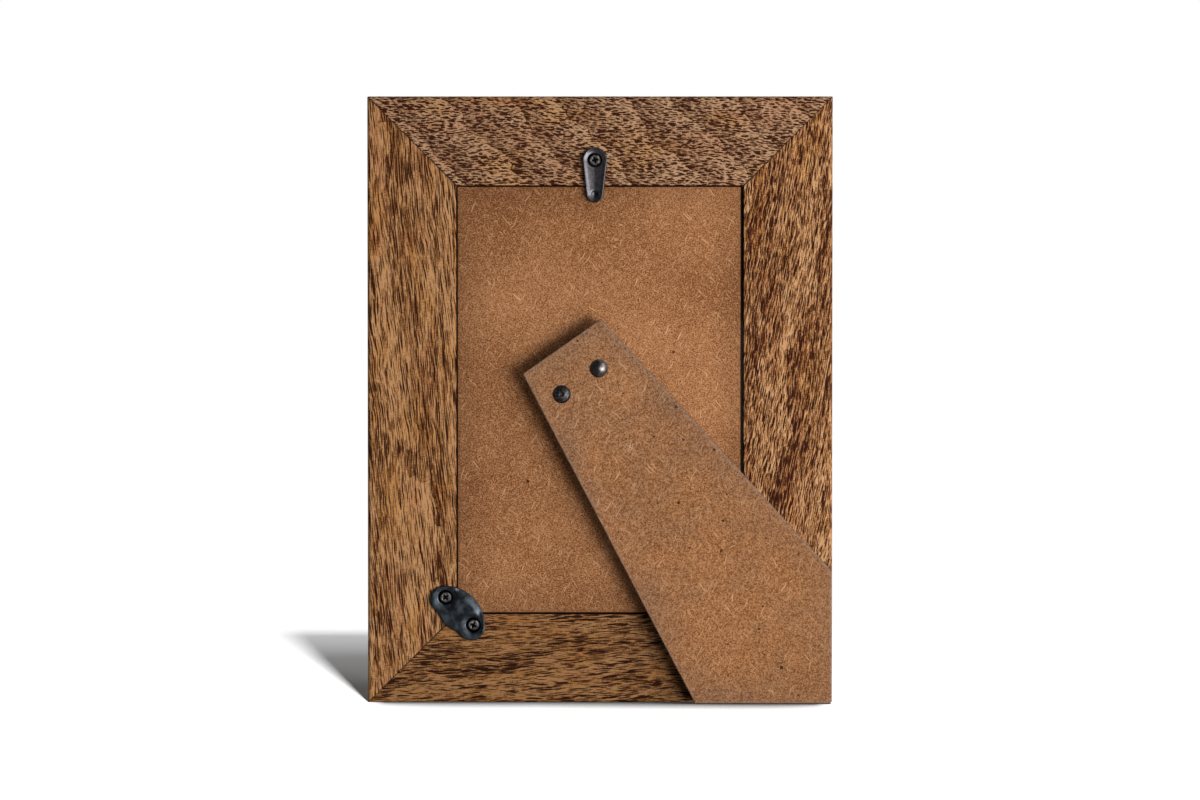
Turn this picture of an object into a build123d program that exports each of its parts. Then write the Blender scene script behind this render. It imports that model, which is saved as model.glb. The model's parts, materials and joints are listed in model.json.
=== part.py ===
from build123d import *

import os
from math import atan2, cos, degrees, hypot, radians, sin, tan

# Easel back photo frame: a mitred wooden frame that holds glass, a print and a back panel,
# with a turn button and two corner plates over the panel's edge and a hinged leg behind it.
# Millimetres, +Z up, picture side to -Y, back to +Y. The origin is on the table, under the
# middle of the frame. Left and right are as the back is seen.

# Print, glass and back panel
photo_width = 101.6
photo_height = 152.4
photo_thickness = 0.3
photo_clearance = 0.7
glass_thickness = 2.0
glass_clearance = 0.4
panel_thickness = 3.0
panel_recess = 0.3
panel_gap_left = 0.5
panel_gap_right = 1.1
panel_gap_top = 0.5
panel_gap_bottom = 0.6

# Moulding of the rails and stiles
rail_width = 31.75
frame_depth = 15.0
lip_width = 6.0
sight_bevel = 3.0
back_edge_round = 1.2
front_edge_round = 2.0
mitre_angle = 45

# Brads hidden in the mitres
brad_radius = 0.6
brad_length = 30.0
brad_point = 0.4
brad_sink = 1.0
brad_clearance = 0.05
brad_row_shares = (0.3, 0.6)

# Countersunk cross-head wood screws
screw_head_radius = 2.2
screw_shank_radius = 1.25
screw_length = 12.0
screw_point = 2.5
screw_clearance = 0.08
screw_sink = 0.15
countersink_margin = 0.3
countersink_angle = 90
recess_length = 2.5
recess_width = 0.75
recess_depth = 0.7

# Turn button on the top rail
button_left = 1.9
button_rise = 9.05
button_head_radius = 4.5
button_tip_radius = 3.1
button_reach = 12.1
button_thickness = 1.4
button_gap = 0.1
button_edge_round = 0.5
dimple_radius = 1.6
dimple_depth = 0.5

# Corner plates over the panel's lower corners
plate_inset = 1.1
plate_thickness = 1.3
plate_edge_round = 0.5
plate_screw_reach = 7.05
plate_lobe_radius = 4.8
plate_lobe_drop = 1.0
plate_cusp_reach = 7.3

# Easel leg, tilted so that its foot lies in the frame's lower right corner
leg_tilt = 35.0
leg_taper = 7.44
leg_top_width = 34.2
leg_thickness = 4.0
leg_standoff = 4.0
leg_edge_round = 0.4
leg_stop_angle = 29.0
foot_lift = 0.3
foot_inset = 0.3
foot_corner_round = 1.2

# Hinge between panel and leg
pin_rise = 16.1
pin_radius = 0.8
pin_clearance = 0.05
pin_head_radius = 1.3
pin_head_length = 0.5
knuckle_clearance = 0.3
knuckle_gap = 0.25
middle_knuckle_share = 0.4
leaf_thickness = 0.8
leaf_margin = 5.0
hinge_left = 1.8

# Rivets of the hinge leaves
rivet_spacing = 16.1
rivet_drop = 6.27
rivet_radius = 1.5
rivet_clearance = 0.05
rivet_tail_radius = 2.3
rivet_tail_gap = 0.05
dome_radius = 3.25
dome_height = 1.6
flush_head_radius = 3.0

# How far a cut runs past the solid that it cuts
overrun = 2.0

# Sizes that follow from the ones above
opening_width = photo_width + 2 * photo_clearance
opening_height = photo_height + 2 * photo_clearance
frame_width = opening_width + 2 * rail_width
frame_height = opening_height + 2 * rail_width
rail_reach = rail_width + lip_width
rebate_depth = glass_thickness + photo_thickness + panel_thickness + panel_recess
back_y = frame_depth / 2
glass_y = back_y - rebate_depth
photo_y = glass_y + glass_thickness
panel_y = photo_y + photo_thickness
panel_back_y = panel_y + panel_thickness
leg_y = panel_back_y + leg_standoff
leg_back_y = leg_y + leg_thickness
pin_y = panel_back_y + leg_standoff / 2
knuckle_radius = leg_standoff / 2 - knuckle_clearance
leg_overhang = leg_standoff / 2 / tan(radians(leg_stop_angle / 2))
leaf_length = rivet_spacing + 2 * leaf_margin
leaf_depth = rivet_drop + leaf_margin
middle_knuckle = middle_knuckle_share * leaf_length
rivet_hole_radius = rivet_radius + rivet_clearance
rivet_tail_height = (leg_standoff - 2 * leaf_thickness - rivet_tail_gap) / 2
screw_hole_radius = screw_shank_radius + screw_clearance
countersink_radius = screw_head_radius + countersink_margin
button_y = back_y + button_gap


def back_plane(depth, right=0, up=0, turn=0):
    """Plane facing the back: x to the right and y up, moved, then turned anticlockwise."""
    turned_x = (-cos(radians(turn)), 0, sin(radians(turn)))
    return Plane((-right, depth, up), x_dir=turned_x, z_dir=(0, 1, 0))


def moved(plane, right, up):
    """The same plane with its origin moved along its own x and y."""
    return Plane(plane.from_local_coords((right, up, 0)), x_dir=plane.x_dir, z_dir=plane.z_dir)


def axial_plane(plane):
    """Plane through another one's z axis, which is its own y."""
    return Plane(plane.origin, x_dir=plane.x_dir, z_dir=-plane.y_dir)


def hinge_plane(depth, along=0, up=0):
    """Plane on the hinge: x along the pin and y up the leg, from the middle of the hinge."""
    on_leg_line = moved(back_plane(depth, 0, frame_height / 2, leg_tilt), -hinge_left, pin_rise)
    return moved(on_leg_line, along, up)


def pin_plane(along):
    """Plane square to the hinge pin, this far along it from the middle of the hinge."""
    across = hinge_plane(pin_y, along)
    return Plane(across.origin, x_dir=across.y_dir, z_dir=across.x_dir)


def keep(name, made):
    """Label a finished piece and write it as a node of its own."""
    made.part.label = name
    export_step(made.part, f"parts/{name}.step")


os.makedirs("parts", exist_ok=True)

# Places that several pieces share
button_plane = back_plane(button_y, -button_left, rail_width + opening_height + button_rise)
plate_corner = opening_width / 2 - plate_inset
plate_planes = {
    "left": back_plane(back_y, -plate_corner, rail_width + plate_inset, -mitre_angle),
    "right": back_plane(back_y, plate_corner, rail_width + plate_inset, mitre_angle),
}
screw_planes = {"turn_button_screw": button_plane.offset(button_thickness)}
for side, plane in plate_planes.items():
    for end, reach in (("outer", -plate_screw_reach), ("inner", plate_screw_reach)):
        seat = moved(plane.offset(plate_thickness), reach, 0)
        screw_planes[f"corner_plate_{side}_screw_{end}"] = seat

brad_planes = {}
for edge, row_start, row_sign in (("bottom", 0, 1), ("top", frame_height, -1)):
    for side, sign in (("left", 1), ("right", -1)):
        for row, share in enumerate(brad_row_shares, start=1):
            spot = (sign * (frame_width / 2 - brad_sink), 0, row_start + row_sign * share * rail_width)
            brad_planes[f"brad_{edge}_{side}_{row}"] = Plane(spot, z_dir=(sign, 0, 0))

rivet_spots = {"left": -rivet_spacing / 2, "right": rivet_spacing / 2}

# Rails and stiles: one rebated moulding, mitred at both ends. Each side plane has x along
# the rail, y towards the middle of the frame and z to the front.
sides = {
    "bottom_rail": (frame_width, Plane((0, 0, 0), x_dir=(1, 0, 0), z_dir=(0, -1, 0))),
    "top_rail": (frame_width, Plane((0, 0, frame_height), x_dir=(-1, 0, 0), z_dir=(0, -1, 0))),
    "left_stile": (
        frame_height,
        Plane((frame_width / 2, 0, frame_height / 2), x_dir=(0, 0, 1), z_dir=(0, -1, 0)),
    ),
    "right_stile": (
        frame_height,
        Plane((-frame_width / 2, 0, frame_height / 2), x_dir=(0, 0, -1), z_dir=(0, -1, 0)),
    ),
}
for name, (length, side) in sides.items():
    with BuildPart() as rail:
        with BuildSketch(Plane(side.origin, x_dir=side.y_dir, z_dir=side.x_dir)) as profile:
            with BuildLine():
                Polyline(
                    (0, -frame_depth / 2),
                    (rail_width, -frame_depth / 2),
                    (rail_width, rebate_depth - frame_depth / 2),
                    (rail_reach, rebate_depth - frame_depth / 2),
                    (rail_reach, frame_depth / 2 - sight_bevel),
                    (rail_reach - sight_bevel, frame_depth / 2),
                    (0, frame_depth / 2),
                    close=True,
                )
            make_face()
            fillet(profile.vertices().group_by(Axis.X)[0].sort_by(Axis.Y)[0], back_edge_round)
            fillet(profile.vertices().group_by(Axis.X)[0].sort_by(Axis.Y)[-1], front_edge_round)
        extrude(amount=length / 2, both=True)
        with BuildSketch(side):
            Trapezoid(length, rail_reach, mitre_angle, align=(Align.CENTER, Align.MIN))
        extrude(amount=frame_depth / 2 + overrun, both=True, mode=Mode.INTERSECT)
        with Locations(*screw_planes.values()):
            Hole(screw_hole_radius, depth=screw_length)
        with BuildSketch(*brad_planes.values()):
            Circle(brad_radius + brad_clearance)
        extrude(amount=-brad_length - brad_clearance, mode=Mode.SUBTRACT)
    keep(name, rail)

# Brads across the mitres, pointed at the inner end
for name, plane in brad_planes.items():
    with BuildPart() as brad:
        with BuildSketch(plane):
            Circle(brad_radius)
        extrude(amount=-brad_length)
        inner_end = brad.faces().sort_by(Axis(plane.origin, plane.z_dir))[0]
        chamfer(inner_end.edges(), brad_point)
    keep(name, brad)

# Glass, resting on the lip of the rebate
with BuildPart() as glass_pane:
    with BuildSketch(back_plane(glass_y, 0, frame_height / 2)):
        Rectangle(opening_width - 2 * glass_clearance, opening_height - 2 * glass_clearance)
    extrude(amount=glass_thickness)
keep("glass_pane", glass_pane)

# Print, held flat between the glass and the panel
with BuildPart() as photo_insert:
    with BuildSketch(back_plane(photo_y, 0, frame_height / 2)):
        Rectangle(photo_width, photo_height)
    extrude(amount=photo_thickness)
keep("photo_insert", photo_insert)

# Back panel, pushed to one side in its rebate, with sunk holes for the flush rivets
with BuildPart() as back_panel:
    with BuildSketch(
        back_plane(panel_y, panel_gap_left - opening_width / 2, rail_width + panel_gap_bottom)
    ):
        Rectangle(
            opening_width - panel_gap_left - panel_gap_right,
            opening_height - panel_gap_top - panel_gap_bottom,
            align=(Align.MIN, Align.MIN),
        )
    extrude(amount=panel_thickness)
    for along in rivet_spots.values():
        inner_face = hinge_plane(panel_y, along, -rivet_drop)
        with Locations(-inner_face):
            CounterSinkHole(
                rivet_hole_radius,
                flush_head_radius + rivet_clearance,
                counter_sink_angle=countersink_angle,
            )
keep("back_panel", back_panel)

# Turn button: a teardrop plate on its screw, with a pressed dimple at the tip
with BuildPart() as turn_button:
    with BuildSketch(button_plane):
        Circle(button_head_radius)
        with Locations((0, -button_reach)):
            Circle(button_tip_radius)
        make_hull()
    extrude(amount=button_thickness)
    button_face = turn_button.faces().sort_by(Axis.Y)[-1]
    fillet(button_face.edges(), button_edge_round)
    with Locations(button_plane.offset(button_thickness)):
        CounterSinkHole(screw_hole_radius, countersink_radius, counter_sink_angle=countersink_angle)
    dimple_sphere = (dimple_radius**2 + dimple_depth**2) / (2 * dimple_depth)
    dimple_lift = button_thickness - dimple_depth + dimple_sphere
    with Locations(moved(button_plane.offset(dimple_lift), 0, -button_reach)):
        Sphere(dimple_sphere, mode=Mode.SUBTRACT)
keep("turn_button", turn_button)

# Corner plates: two round lobes inside one large arc, with a cusp towards the frame's corner
cusp = (0, -plate_cusp_reach)
lobe_rise = plate_cusp_reach - plate_lobe_drop
lobe_angle = degrees(atan2(lobe_rise, plate_screw_reach))
plate_arc_radius = hypot(plate_screw_reach, lobe_rise) + plate_lobe_radius
lobe_foot = -plate_lobe_drop - plate_lobe_radius
for side, plane in plate_planes.items():
    with BuildPart() as corner_plate:
        with BuildSketch(plane):
            with BuildLine():
                TangentArc((plate_screw_reach, lobe_foot), cusp, tangent=(-1, 0))
                CenterArc((plate_screw_reach, -plate_lobe_drop), plate_lobe_radius, -90, 90 + lobe_angle)
                CenterArc(cusp, plate_arc_radius, lobe_angle, 180 - 2 * lobe_angle)
                CenterArc(
                    (-plate_screw_reach, -plate_lobe_drop),
                    plate_lobe_radius,
                    180 - lobe_angle,
                    90 + lobe_angle,
                )
                TangentArc((-plate_screw_reach, lobe_foot), cusp, tangent=(1, 0))
            make_face()
        extrude(amount=plate_thickness)
        plate_face = corner_plate.faces().sort_by(Axis.Y)[-1]
        fillet(plate_face.edges(), plate_edge_round)
        outer_face = plane.offset(plate_thickness)
        with Locations(moved(outer_face, -plate_screw_reach, 0), moved(outer_face, plate_screw_reach, 0)):
            CounterSinkHole(
                screw_hole_radius, countersink_radius, counter_sink_angle=countersink_angle
            )
    keep(f"corner_plate_{side}", corner_plate)

# Screws, their heads sunk a little below the plates' faces
screw_cone = (screw_head_radius - screw_shank_radius) / tan(radians(countersink_angle / 2))
for name, plane in screw_planes.items():
    seat = plane.offset(-screw_sink)
    with BuildPart() as screw:
        with BuildSketch(axial_plane(seat)):
            with BuildLine():
                Polyline(
                    (0, 0),
                    (screw_head_radius, 0),
                    (screw_shank_radius, -screw_cone),
                    (screw_shank_radius, screw_point - screw_length),
                    (0, -screw_length),
                    close=True,
                )
            make_face()
        revolve(axis=Axis(seat.origin, seat.z_dir))
        with BuildSketch(seat):
            Rectangle(recess_length, recess_width)
            Rectangle(recess_width, recess_length)
        extrude(amount=-recess_depth, mode=Mode.SUBTRACT)
    keep(name, screw)

# Easel leg: a tapered board, trimmed to the frame's underside and side at the foot
leg_run = frame_width + frame_height
leg_top = leg_top_width / 2
leg_foot = leg_top + leg_run * tan(radians(leg_taper))
with BuildPart() as easel_leg:
    with BuildSketch(hinge_plane(leg_y, hinge_left, leg_overhang)):
        with BuildLine():
            Polyline((-leg_top, 0), (leg_top, 0), (leg_foot, -leg_run), (-leg_foot, -leg_run), close=True)
        make_face()
    extrude(amount=leg_thickness)
    with BuildSketch(back_plane(leg_y, frame_width / 2 - foot_inset, foot_lift)):
        Rectangle(frame_width, frame_height, align=(Align.MAX, Align.MIN))
    extrude(amount=leg_thickness, mode=Mode.INTERSECT)
    foot_corner = easel_leg.edges().filter_by(Axis.Y).group_by(Axis.Z)[0].sort_by(Axis.X)[0]
    fillet(foot_corner, foot_corner_round)
    leg_face = easel_leg.faces().sort_by(Axis.Y)[-1]
    fillet(leg_face.edges(), leg_edge_round)
    with Locations(*[hinge_plane(leg_y, along, -rivet_drop) for along in rivet_spots.values()]):
        Hole(rivet_hole_radius)
keep("easel_leg", easel_leg)

# Hinge leaves: each a sheet with knuckles rolled round the pin, notched for the other's knuckles
leaf_end = leaf_length / 2
middle_end = middle_knuckle / 2
end_spans = ((-leaf_end, -middle_end), (middle_end, leaf_end))
leaves = {
    "hinge_leaf_panel": (
        panel_back_y,
        ((-leaf_end, -middle_end - knuckle_gap), (middle_end + knuckle_gap, leaf_end)),
        ((-middle_end - knuckle_gap, middle_end + knuckle_gap),),
    ),
    "hinge_leaf_leg": (leg_y - leaf_thickness, ((-middle_end, middle_end),), end_spans),
}
for name, (sheet_y, knuckles, notches) in leaves.items():
    with BuildPart() as leaf:
        with BuildSketch(hinge_plane(sheet_y)):
            Rectangle(leaf_length, leaf_depth, align=(Align.CENTER, Align.MAX))
        extrude(amount=leaf_thickness)
        for start, end in notches:
            with BuildSketch(hinge_plane(sheet_y, start)):
                Rectangle(end - start, knuckle_radius + knuckle_gap, align=(Align.MIN, Align.MAX))
            extrude(amount=leaf_thickness, mode=Mode.SUBTRACT)
        for start, end in knuckles:
            with BuildSketch(pin_plane(start)):
                Circle(knuckle_radius)
            extrude(amount=end - start)
        with BuildSketch(pin_plane(0)):
            Circle(pin_radius + pin_clearance)
        extrude(amount=leaf_length, both=True, mode=Mode.SUBTRACT)
        with Locations(*[hinge_plane(sheet_y, along, -rivet_drop) for along in rivet_spots.values()]):
            Hole(rivet_hole_radius)
    keep(name, leaf)

# Hinge pin, with its ends peened over the outer knuckles
with BuildPart() as hinge_pin:
    with BuildSketch(pin_plane(-leaf_end)):
        Circle(pin_radius)
    extrude(amount=leaf_length)
    for end in (-leaf_end - pin_head_length, leaf_end):
        with BuildSketch(pin_plane(end)):
            Circle(pin_head_radius)
        extrude(amount=pin_head_length)
keep("hinge_pin", hinge_pin)

# Domed rivets through the leg and its leaf; in the closed hinge their tails meet the panel's
leg_grip = leg_thickness + leaf_thickness
for side, along in rivet_spots.items():
    seat = hinge_plane(leg_back_y, along, -rivet_drop)
    with BuildPart() as leg_rivet:
        with BuildSketch(axial_plane(seat)):
            with BuildLine():
                TangentArc((0, dome_height), (dome_radius, 0), tangent=(1, 0))
                Polyline(
                    (dome_radius, 0),
                    (rivet_radius, 0),
                    (rivet_radius, -leg_grip),
                    (rivet_tail_radius, -leg_grip),
                    (rivet_tail_radius, -leg_grip - rivet_tail_height),
                    (0, -leg_grip - rivet_tail_height),
                    (0, dome_height),
                )
            make_face()
        revolve(axis=Axis(seat.origin, seat.z_dir))
    keep(f"leg_rivet_{side}", leg_rivet)

# Flush rivets through the panel and its leaf
panel_grip = panel_thickness + leaf_thickness
flush_cone = (flush_head_radius - rivet_radius) / tan(radians(countersink_angle / 2))
for side, along in rivet_spots.items():
    seat = hinge_plane(panel_y, along, -rivet_drop)
    with BuildPart() as panel_rivet:
        with BuildSketch(axial_plane(seat)):
            with BuildLine():
                Polyline(
                    (0, 0),
                    (flush_head_radius, 0),
                    (rivet_radius, flush_cone),
                    (rivet_radius, panel_grip),
                    (rivet_tail_radius, panel_grip),
                    (rivet_tail_radius, panel_grip + rivet_tail_height),
                    (0, panel_grip + rivet_tail_height),
                    close=True,
                )
            make_face()
        revolve(axis=Axis(seat.origin, seat.z_dir))
    keep(f"panel_rivet_{side}", panel_rivet)
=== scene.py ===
"""Looks of an easel back photo frame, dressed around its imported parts.

The back faces +Y, the picture side faces -Y, +Z is up, and +X is to the left as the back is seen.
Sizes are millimetres in the row frame, and points go into the meshes in metres.
"""

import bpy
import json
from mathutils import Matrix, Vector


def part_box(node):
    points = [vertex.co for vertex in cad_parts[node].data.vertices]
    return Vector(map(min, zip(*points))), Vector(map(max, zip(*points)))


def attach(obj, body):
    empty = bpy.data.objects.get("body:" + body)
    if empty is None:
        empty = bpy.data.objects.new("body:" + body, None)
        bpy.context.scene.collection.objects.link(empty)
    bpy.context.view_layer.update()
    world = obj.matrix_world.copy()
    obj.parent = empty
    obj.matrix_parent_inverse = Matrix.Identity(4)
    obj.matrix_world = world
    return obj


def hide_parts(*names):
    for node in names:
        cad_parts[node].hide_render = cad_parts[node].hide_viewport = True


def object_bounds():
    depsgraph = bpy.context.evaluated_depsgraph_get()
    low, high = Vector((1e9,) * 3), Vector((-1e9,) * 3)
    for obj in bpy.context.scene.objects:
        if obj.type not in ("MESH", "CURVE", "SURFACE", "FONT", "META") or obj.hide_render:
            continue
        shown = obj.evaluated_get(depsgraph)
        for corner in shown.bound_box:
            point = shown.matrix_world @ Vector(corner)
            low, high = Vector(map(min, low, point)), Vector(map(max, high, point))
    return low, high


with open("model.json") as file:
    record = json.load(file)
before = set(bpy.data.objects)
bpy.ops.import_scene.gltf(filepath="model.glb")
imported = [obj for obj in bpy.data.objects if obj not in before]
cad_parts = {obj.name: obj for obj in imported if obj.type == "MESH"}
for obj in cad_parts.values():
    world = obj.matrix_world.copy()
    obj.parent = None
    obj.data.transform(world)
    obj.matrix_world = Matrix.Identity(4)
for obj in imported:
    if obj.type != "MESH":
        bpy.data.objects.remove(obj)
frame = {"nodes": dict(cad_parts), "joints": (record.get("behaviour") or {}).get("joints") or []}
cad_box = [list(corner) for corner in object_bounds()]

import json
import logging
from collections.abc import Callable, Sequence
from dataclasses import dataclass
from enum import Enum

import bmesh
import bpy
import numpy as np
from mathutils import Vector

LOG = logging.getLogger("photo_frame")
MM = 0.001

# Points this close together, and edges this short, are merged, in metres
SAME_POINT = 1e-7
SLIVER = 1e-8

# Edges that turn by more than this many degrees stay sharp
CREASE = 38.0

# Points on the arc of a rounded corner, and on the quarter circle of an eased edge
ARC_STEPS = 7
EASE_STEPS = 5

# Insets of the extra rings on the faces of a board, and the smallest radius of its corners
FACE_INSETS = (14.0, 5.0, 1.6, 0.8)
LEAST_RADIUS = 0.02

# How far one unit of a seed moves a pattern along each axis
SEED_STEPS = (1.0, 1.7, 0.6)

Array = np.ndarray
Pair = tuple[float, float]
Triple = tuple[float, float, float]
Socket = bpy.types.NodeSocket
Value = float | Socket
Feeds = dict[str | int, Value | Sequence[float]]
Colour = tuple[int, int, int]
Relief = Callable[[Array], tuple[Array, Array]]
Lift = Callable[[Array, Array], tuple[Array, Array]]

WHITE: Colour = (255, 255, 255)


class Body(Enum):
    """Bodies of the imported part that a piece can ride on."""

    FRAME = "frame"
    LEG = "leg"
    BUTTON = "button"


class Slot(Enum):
    """Material slots of the record."""

    WOOD = "frame_wood"
    PANEL = "panel_board"
    LEG = "leg_board"
    STEEL = "black_steel"
    RIVET = "rivet_steel"


class Grain(Enum):
    """Way that a rail's grain runs, as the back is seen."""

    LEVEL = "level"
    UPRIGHT = "upright"


class Receiver(Enum):
    """What a lamp lights."""

    OBJECT = "object"
    FLOOR = "floor"


def linear(colour: Colour) -> tuple[float, float, float, float]:
    """Linear light values, with alpha, of a colour written as sRGB from 0 to 255."""
    share = np.array(colour) / 255
    light = np.where(share <= 0.04045, share / 12.92, ((share + 0.055) / 1.055) ** 2.4)
    return (*light.tolist(), 1.0)


def node_box(name: str) -> Array:
    """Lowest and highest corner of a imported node, in millimetres, as a 2 by 3 array."""
    return np.array([list(corner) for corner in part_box(name)]) / MM


def node_middle(name: str) -> Array:
    """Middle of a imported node's box, in millimetres."""
    return node_box(name).mean(0)


# Surfaces


@dataclass
class Shape:
    """Points in millimetres joined into faces, with numbers kept at the points."""

    points: Array
    faces: list[Array]
    marks: dict[str, Array]

    def piece(
        self,
        name: str,
        material: bpy.types.Material,
        body: Body,
        slot: Slot,
        nodes: Sequence[str],
    ) -> None:
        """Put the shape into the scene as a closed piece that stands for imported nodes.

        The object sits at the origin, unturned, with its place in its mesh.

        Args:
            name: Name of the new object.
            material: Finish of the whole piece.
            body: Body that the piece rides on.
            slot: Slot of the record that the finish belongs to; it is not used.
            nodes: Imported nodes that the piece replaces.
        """
        mesh = bpy.data.meshes.new(name)
        mesh.vertices.add(len(self.points))
        mesh.vertices.foreach_set("co", (self.points * MM).astype(np.float32).ravel())
        corners = np.concatenate([part.ravel() for part in self.faces])
        counts = np.concatenate([np.full(len(part), part.shape[1]) for part in self.faces])
        mesh.loops.add(len(corners))
        mesh.loops.foreach_set("vertex_index", corners.astype(np.int32))
        mesh.polygons.add(len(counts))
        mesh.polygons.foreach_set("loop_start", (np.cumsum(counts) - counts).astype(np.int32))
        for mark, values in self.marks.items():
            layer = mesh.attributes.new(mark, "FLOAT", "POINT")
            layer.data.foreach_set("value", np.asarray(values, np.float32).ravel())
        mesh.update(calc_edges=True)
        close_mesh(mesh)
        mesh.shade_smooth()
        mesh.set_sharp_from_angle(angle=np.radians(CREASE))
        mesh.materials.append(material)
        made = bpy.data.objects.new(name, mesh)
        bpy.context.scene.collection.objects.link(made)
        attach(made, body.value)
        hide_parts(*nodes)
        LOG.info("%s: %d faces, for %s", name, len(mesh.polygons), ", ".join(nodes))


def close_mesh(mesh: bpy.types.Mesh) -> None:
    """Merge points that coincide at seams and poles, and turn all faces outwards.

    Args:
        mesh: Mesh to change.
    """
    work = bmesh.new()
    work.from_mesh(mesh)
    bmesh.ops.remove_doubles(work, verts=work.verts, dist=SAME_POINT)
    bmesh.ops.dissolve_degenerate(work, edges=work.edges, dist=SLIVER)
    bmesh.ops.recalc_face_normals(work, faces=work.faces)
    work.to_mesh(mesh)
    work.free()


def grid_quads(rows: int, columns: int, round_trip: bool = False) -> Array:
    """Quads between the neighbours of a grid, numbered row by row.

    Args:
        rows: Number of rows of points.
        columns: Points in a row.
        round_trip: Whether the last column joins the first.

    Returns:
        Point numbers, four to a quad.
    """
    number = np.arange(rows * columns).reshape(rows, columns)
    if round_trip:
        number = np.concatenate([number, number[:, :1]], axis=1)
    around = (number[:-1, :-1], number[:-1, 1:], number[1:, 1:], number[1:, :-1])
    return np.stack([part.ravel() for part in around], axis=1)


def capped_faces(rows: int, columns: int) -> list[Array]:
    """Faces of a tube of rings, numbered row by row, whose first and last ring are filled.

    Args:
        rows: Number of rings.
        columns: Points in a ring.

    Returns:
        Quads of the tube, and its two ends.
    """
    number = np.arange(rows * columns).reshape(rows, columns)
    return [grid_quads(rows, columns, True), number[:1], number[-1:]]


def unit(vectors: Array) -> Array:
    """Vectors, one row each, made one unit long."""
    return vectors / np.linalg.norm(vectors, axis=1, keepdims=True)


def distance_to(points: Array, spot: Sequence[float]) -> Array:
    """Distance of each point from one spot."""
    return np.linalg.norm(points - np.array(spot), axis=1)


def running_length(outline: Array) -> tuple[Array, Array]:
    """Length along a closed outline: the sum of the straight pieces up to each point.

    Args:
        outline: Outline points, one row each, in order.

    Returns:
        The outline with its first point again at the end, and the length from its start to each point.
    """
    closed = np.vstack([outline, outline[:1]])
    pieces = np.linalg.norm(np.diff(closed, axis=0), axis=1)
    return closed, np.concatenate([[0], np.cumsum(pieces)])


def rounded_outline(corners: Array, radii: Array) -> Array:
    """Closed outline whose corners are arcs.

    At a corner the arc's centre lies on the bisector, where both sides are one radius away. Points
    of the arc are the centre plus the radius times a unit vector that swings evenly from the normal
    of one side to the normal of the next.

    Args:
        corners: Corner points, one row each, in order.
        radii: Radius of the arc at each corner.

    Returns:
        Outline points, corner by corner.
    """
    before = unit(corners - np.roll(corners, 1, axis=0))
    after = unit(np.roll(corners, -1, axis=0) - corners)
    sine = before[:, 0] * after[:, 1] - before[:, 1] * after[:, 0]
    turn = np.arctan2(sine, (before * after).sum(1))
    side = np.sign(turn)
    normals = np.stack([-before[:, 1], before[:, 0]], axis=1) * side[:, None]
    reach = radii * np.tan(np.abs(turn) / 2)
    centres = corners - before * reach[:, None] + normals * radii[:, None]
    start = np.arctan2(-normals[:, 1], -normals[:, 0])
    angles = start[:, None] + turn[:, None] * np.linspace(0, 1, ARC_STEPS)
    arcs = np.stack([np.cos(angles), np.sin(angles)], axis=2) * radii[:, None, None]
    return (centres[:, None] + arcs).reshape(-1, 2)


def inset_corners(corners: Array, inset: float) -> Array:
    """Corners of a polygon whose sides are moved inwards.

    A corner moves along the sum of the inward normals of its two sides, by the inset over 1 plus the
    cosine of the angle between them.

    Args:
        corners: Corner points, one row each, anticlockwise.
        inset: How far the sides move.

    Returns:
        The moved corners.
    """
    before = unit(corners - np.roll(corners, 1, axis=0))
    inward = np.stack([-before[:, 1], before[:, 0]], axis=1)
    inward_next = np.roll(inward, -1, axis=0)
    together = (inward * inward_next).sum(1, keepdims=True)
    return corners + inset * (inward + inward_next) / (1 + together)


def filled_outline(outline: Array, step: float) -> Array:
    """The same closed outline with points added so that none are further apart than a step.

    Args:
        outline: Outline points, one row each, in order.
        step: Largest distance between neighbours.

    Returns:
        The old points and the new ones, in order.
    """
    closed, length = running_length(outline)
    spots = np.union1d(length, np.arange(0, length[-1], step))[:-1]
    return np.stack([np.interp(spots, length, closed[:, axis]) for axis in (0, 1)], axis=1)


def board_shape(corners: Array, radii: Array, depth: Pair, ease: float) -> Shape:
    """Flat board with eased edges.

    The surface is a ring profile carried round the outline: ring k is the outline moved inwards by
    inset k, at depth k. Insets follow a quarter circle at both faces and then step inwards, and the
    two faces close the last rings.

    Args:
        corners: Corners in the plane of the board, anticlockwise as seen from the back.
        radii: Radius of each corner.
        depth: Depth of the inner and of the outer face.
        ease: Radius of the eased edges.

    Returns:
        The board, marked with the distance from its edge.
    """
    bend = np.linspace(0, np.pi / 2, EASE_STEPS)
    arc = np.stack([ease * (1 - np.sin(bend)), ease * (1 - np.cos(bend))], axis=1)
    steps = np.column_stack([FACE_INSETS, np.zeros(len(FACE_INSETS))]) + [ease, 0]
    half = np.vstack([steps, arc])
    insets = np.concatenate([half[:, 0], half[::-1, 0]])
    depths = np.concatenate([depth[0] + half[:, 1], depth[1] - half[::-1, 1]])
    rings = [
        rounded_outline(inset_corners(corners, inset), np.maximum(radii - inset, LEAST_RADIUS))
        for inset in insets
    ]
    flat = np.stack(rings)
    rows, columns = flat.shape[:2]
    deep = np.broadcast_to(depths[:, None], (rows, columns))
    points = np.stack([-flat[..., 0], deep, flat[..., 1]], axis=2)
    marks = {"rim": np.repeat(insets, columns)}
    return Shape(points.reshape(-1, 3), capped_faces(rows, columns), marks)


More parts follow.
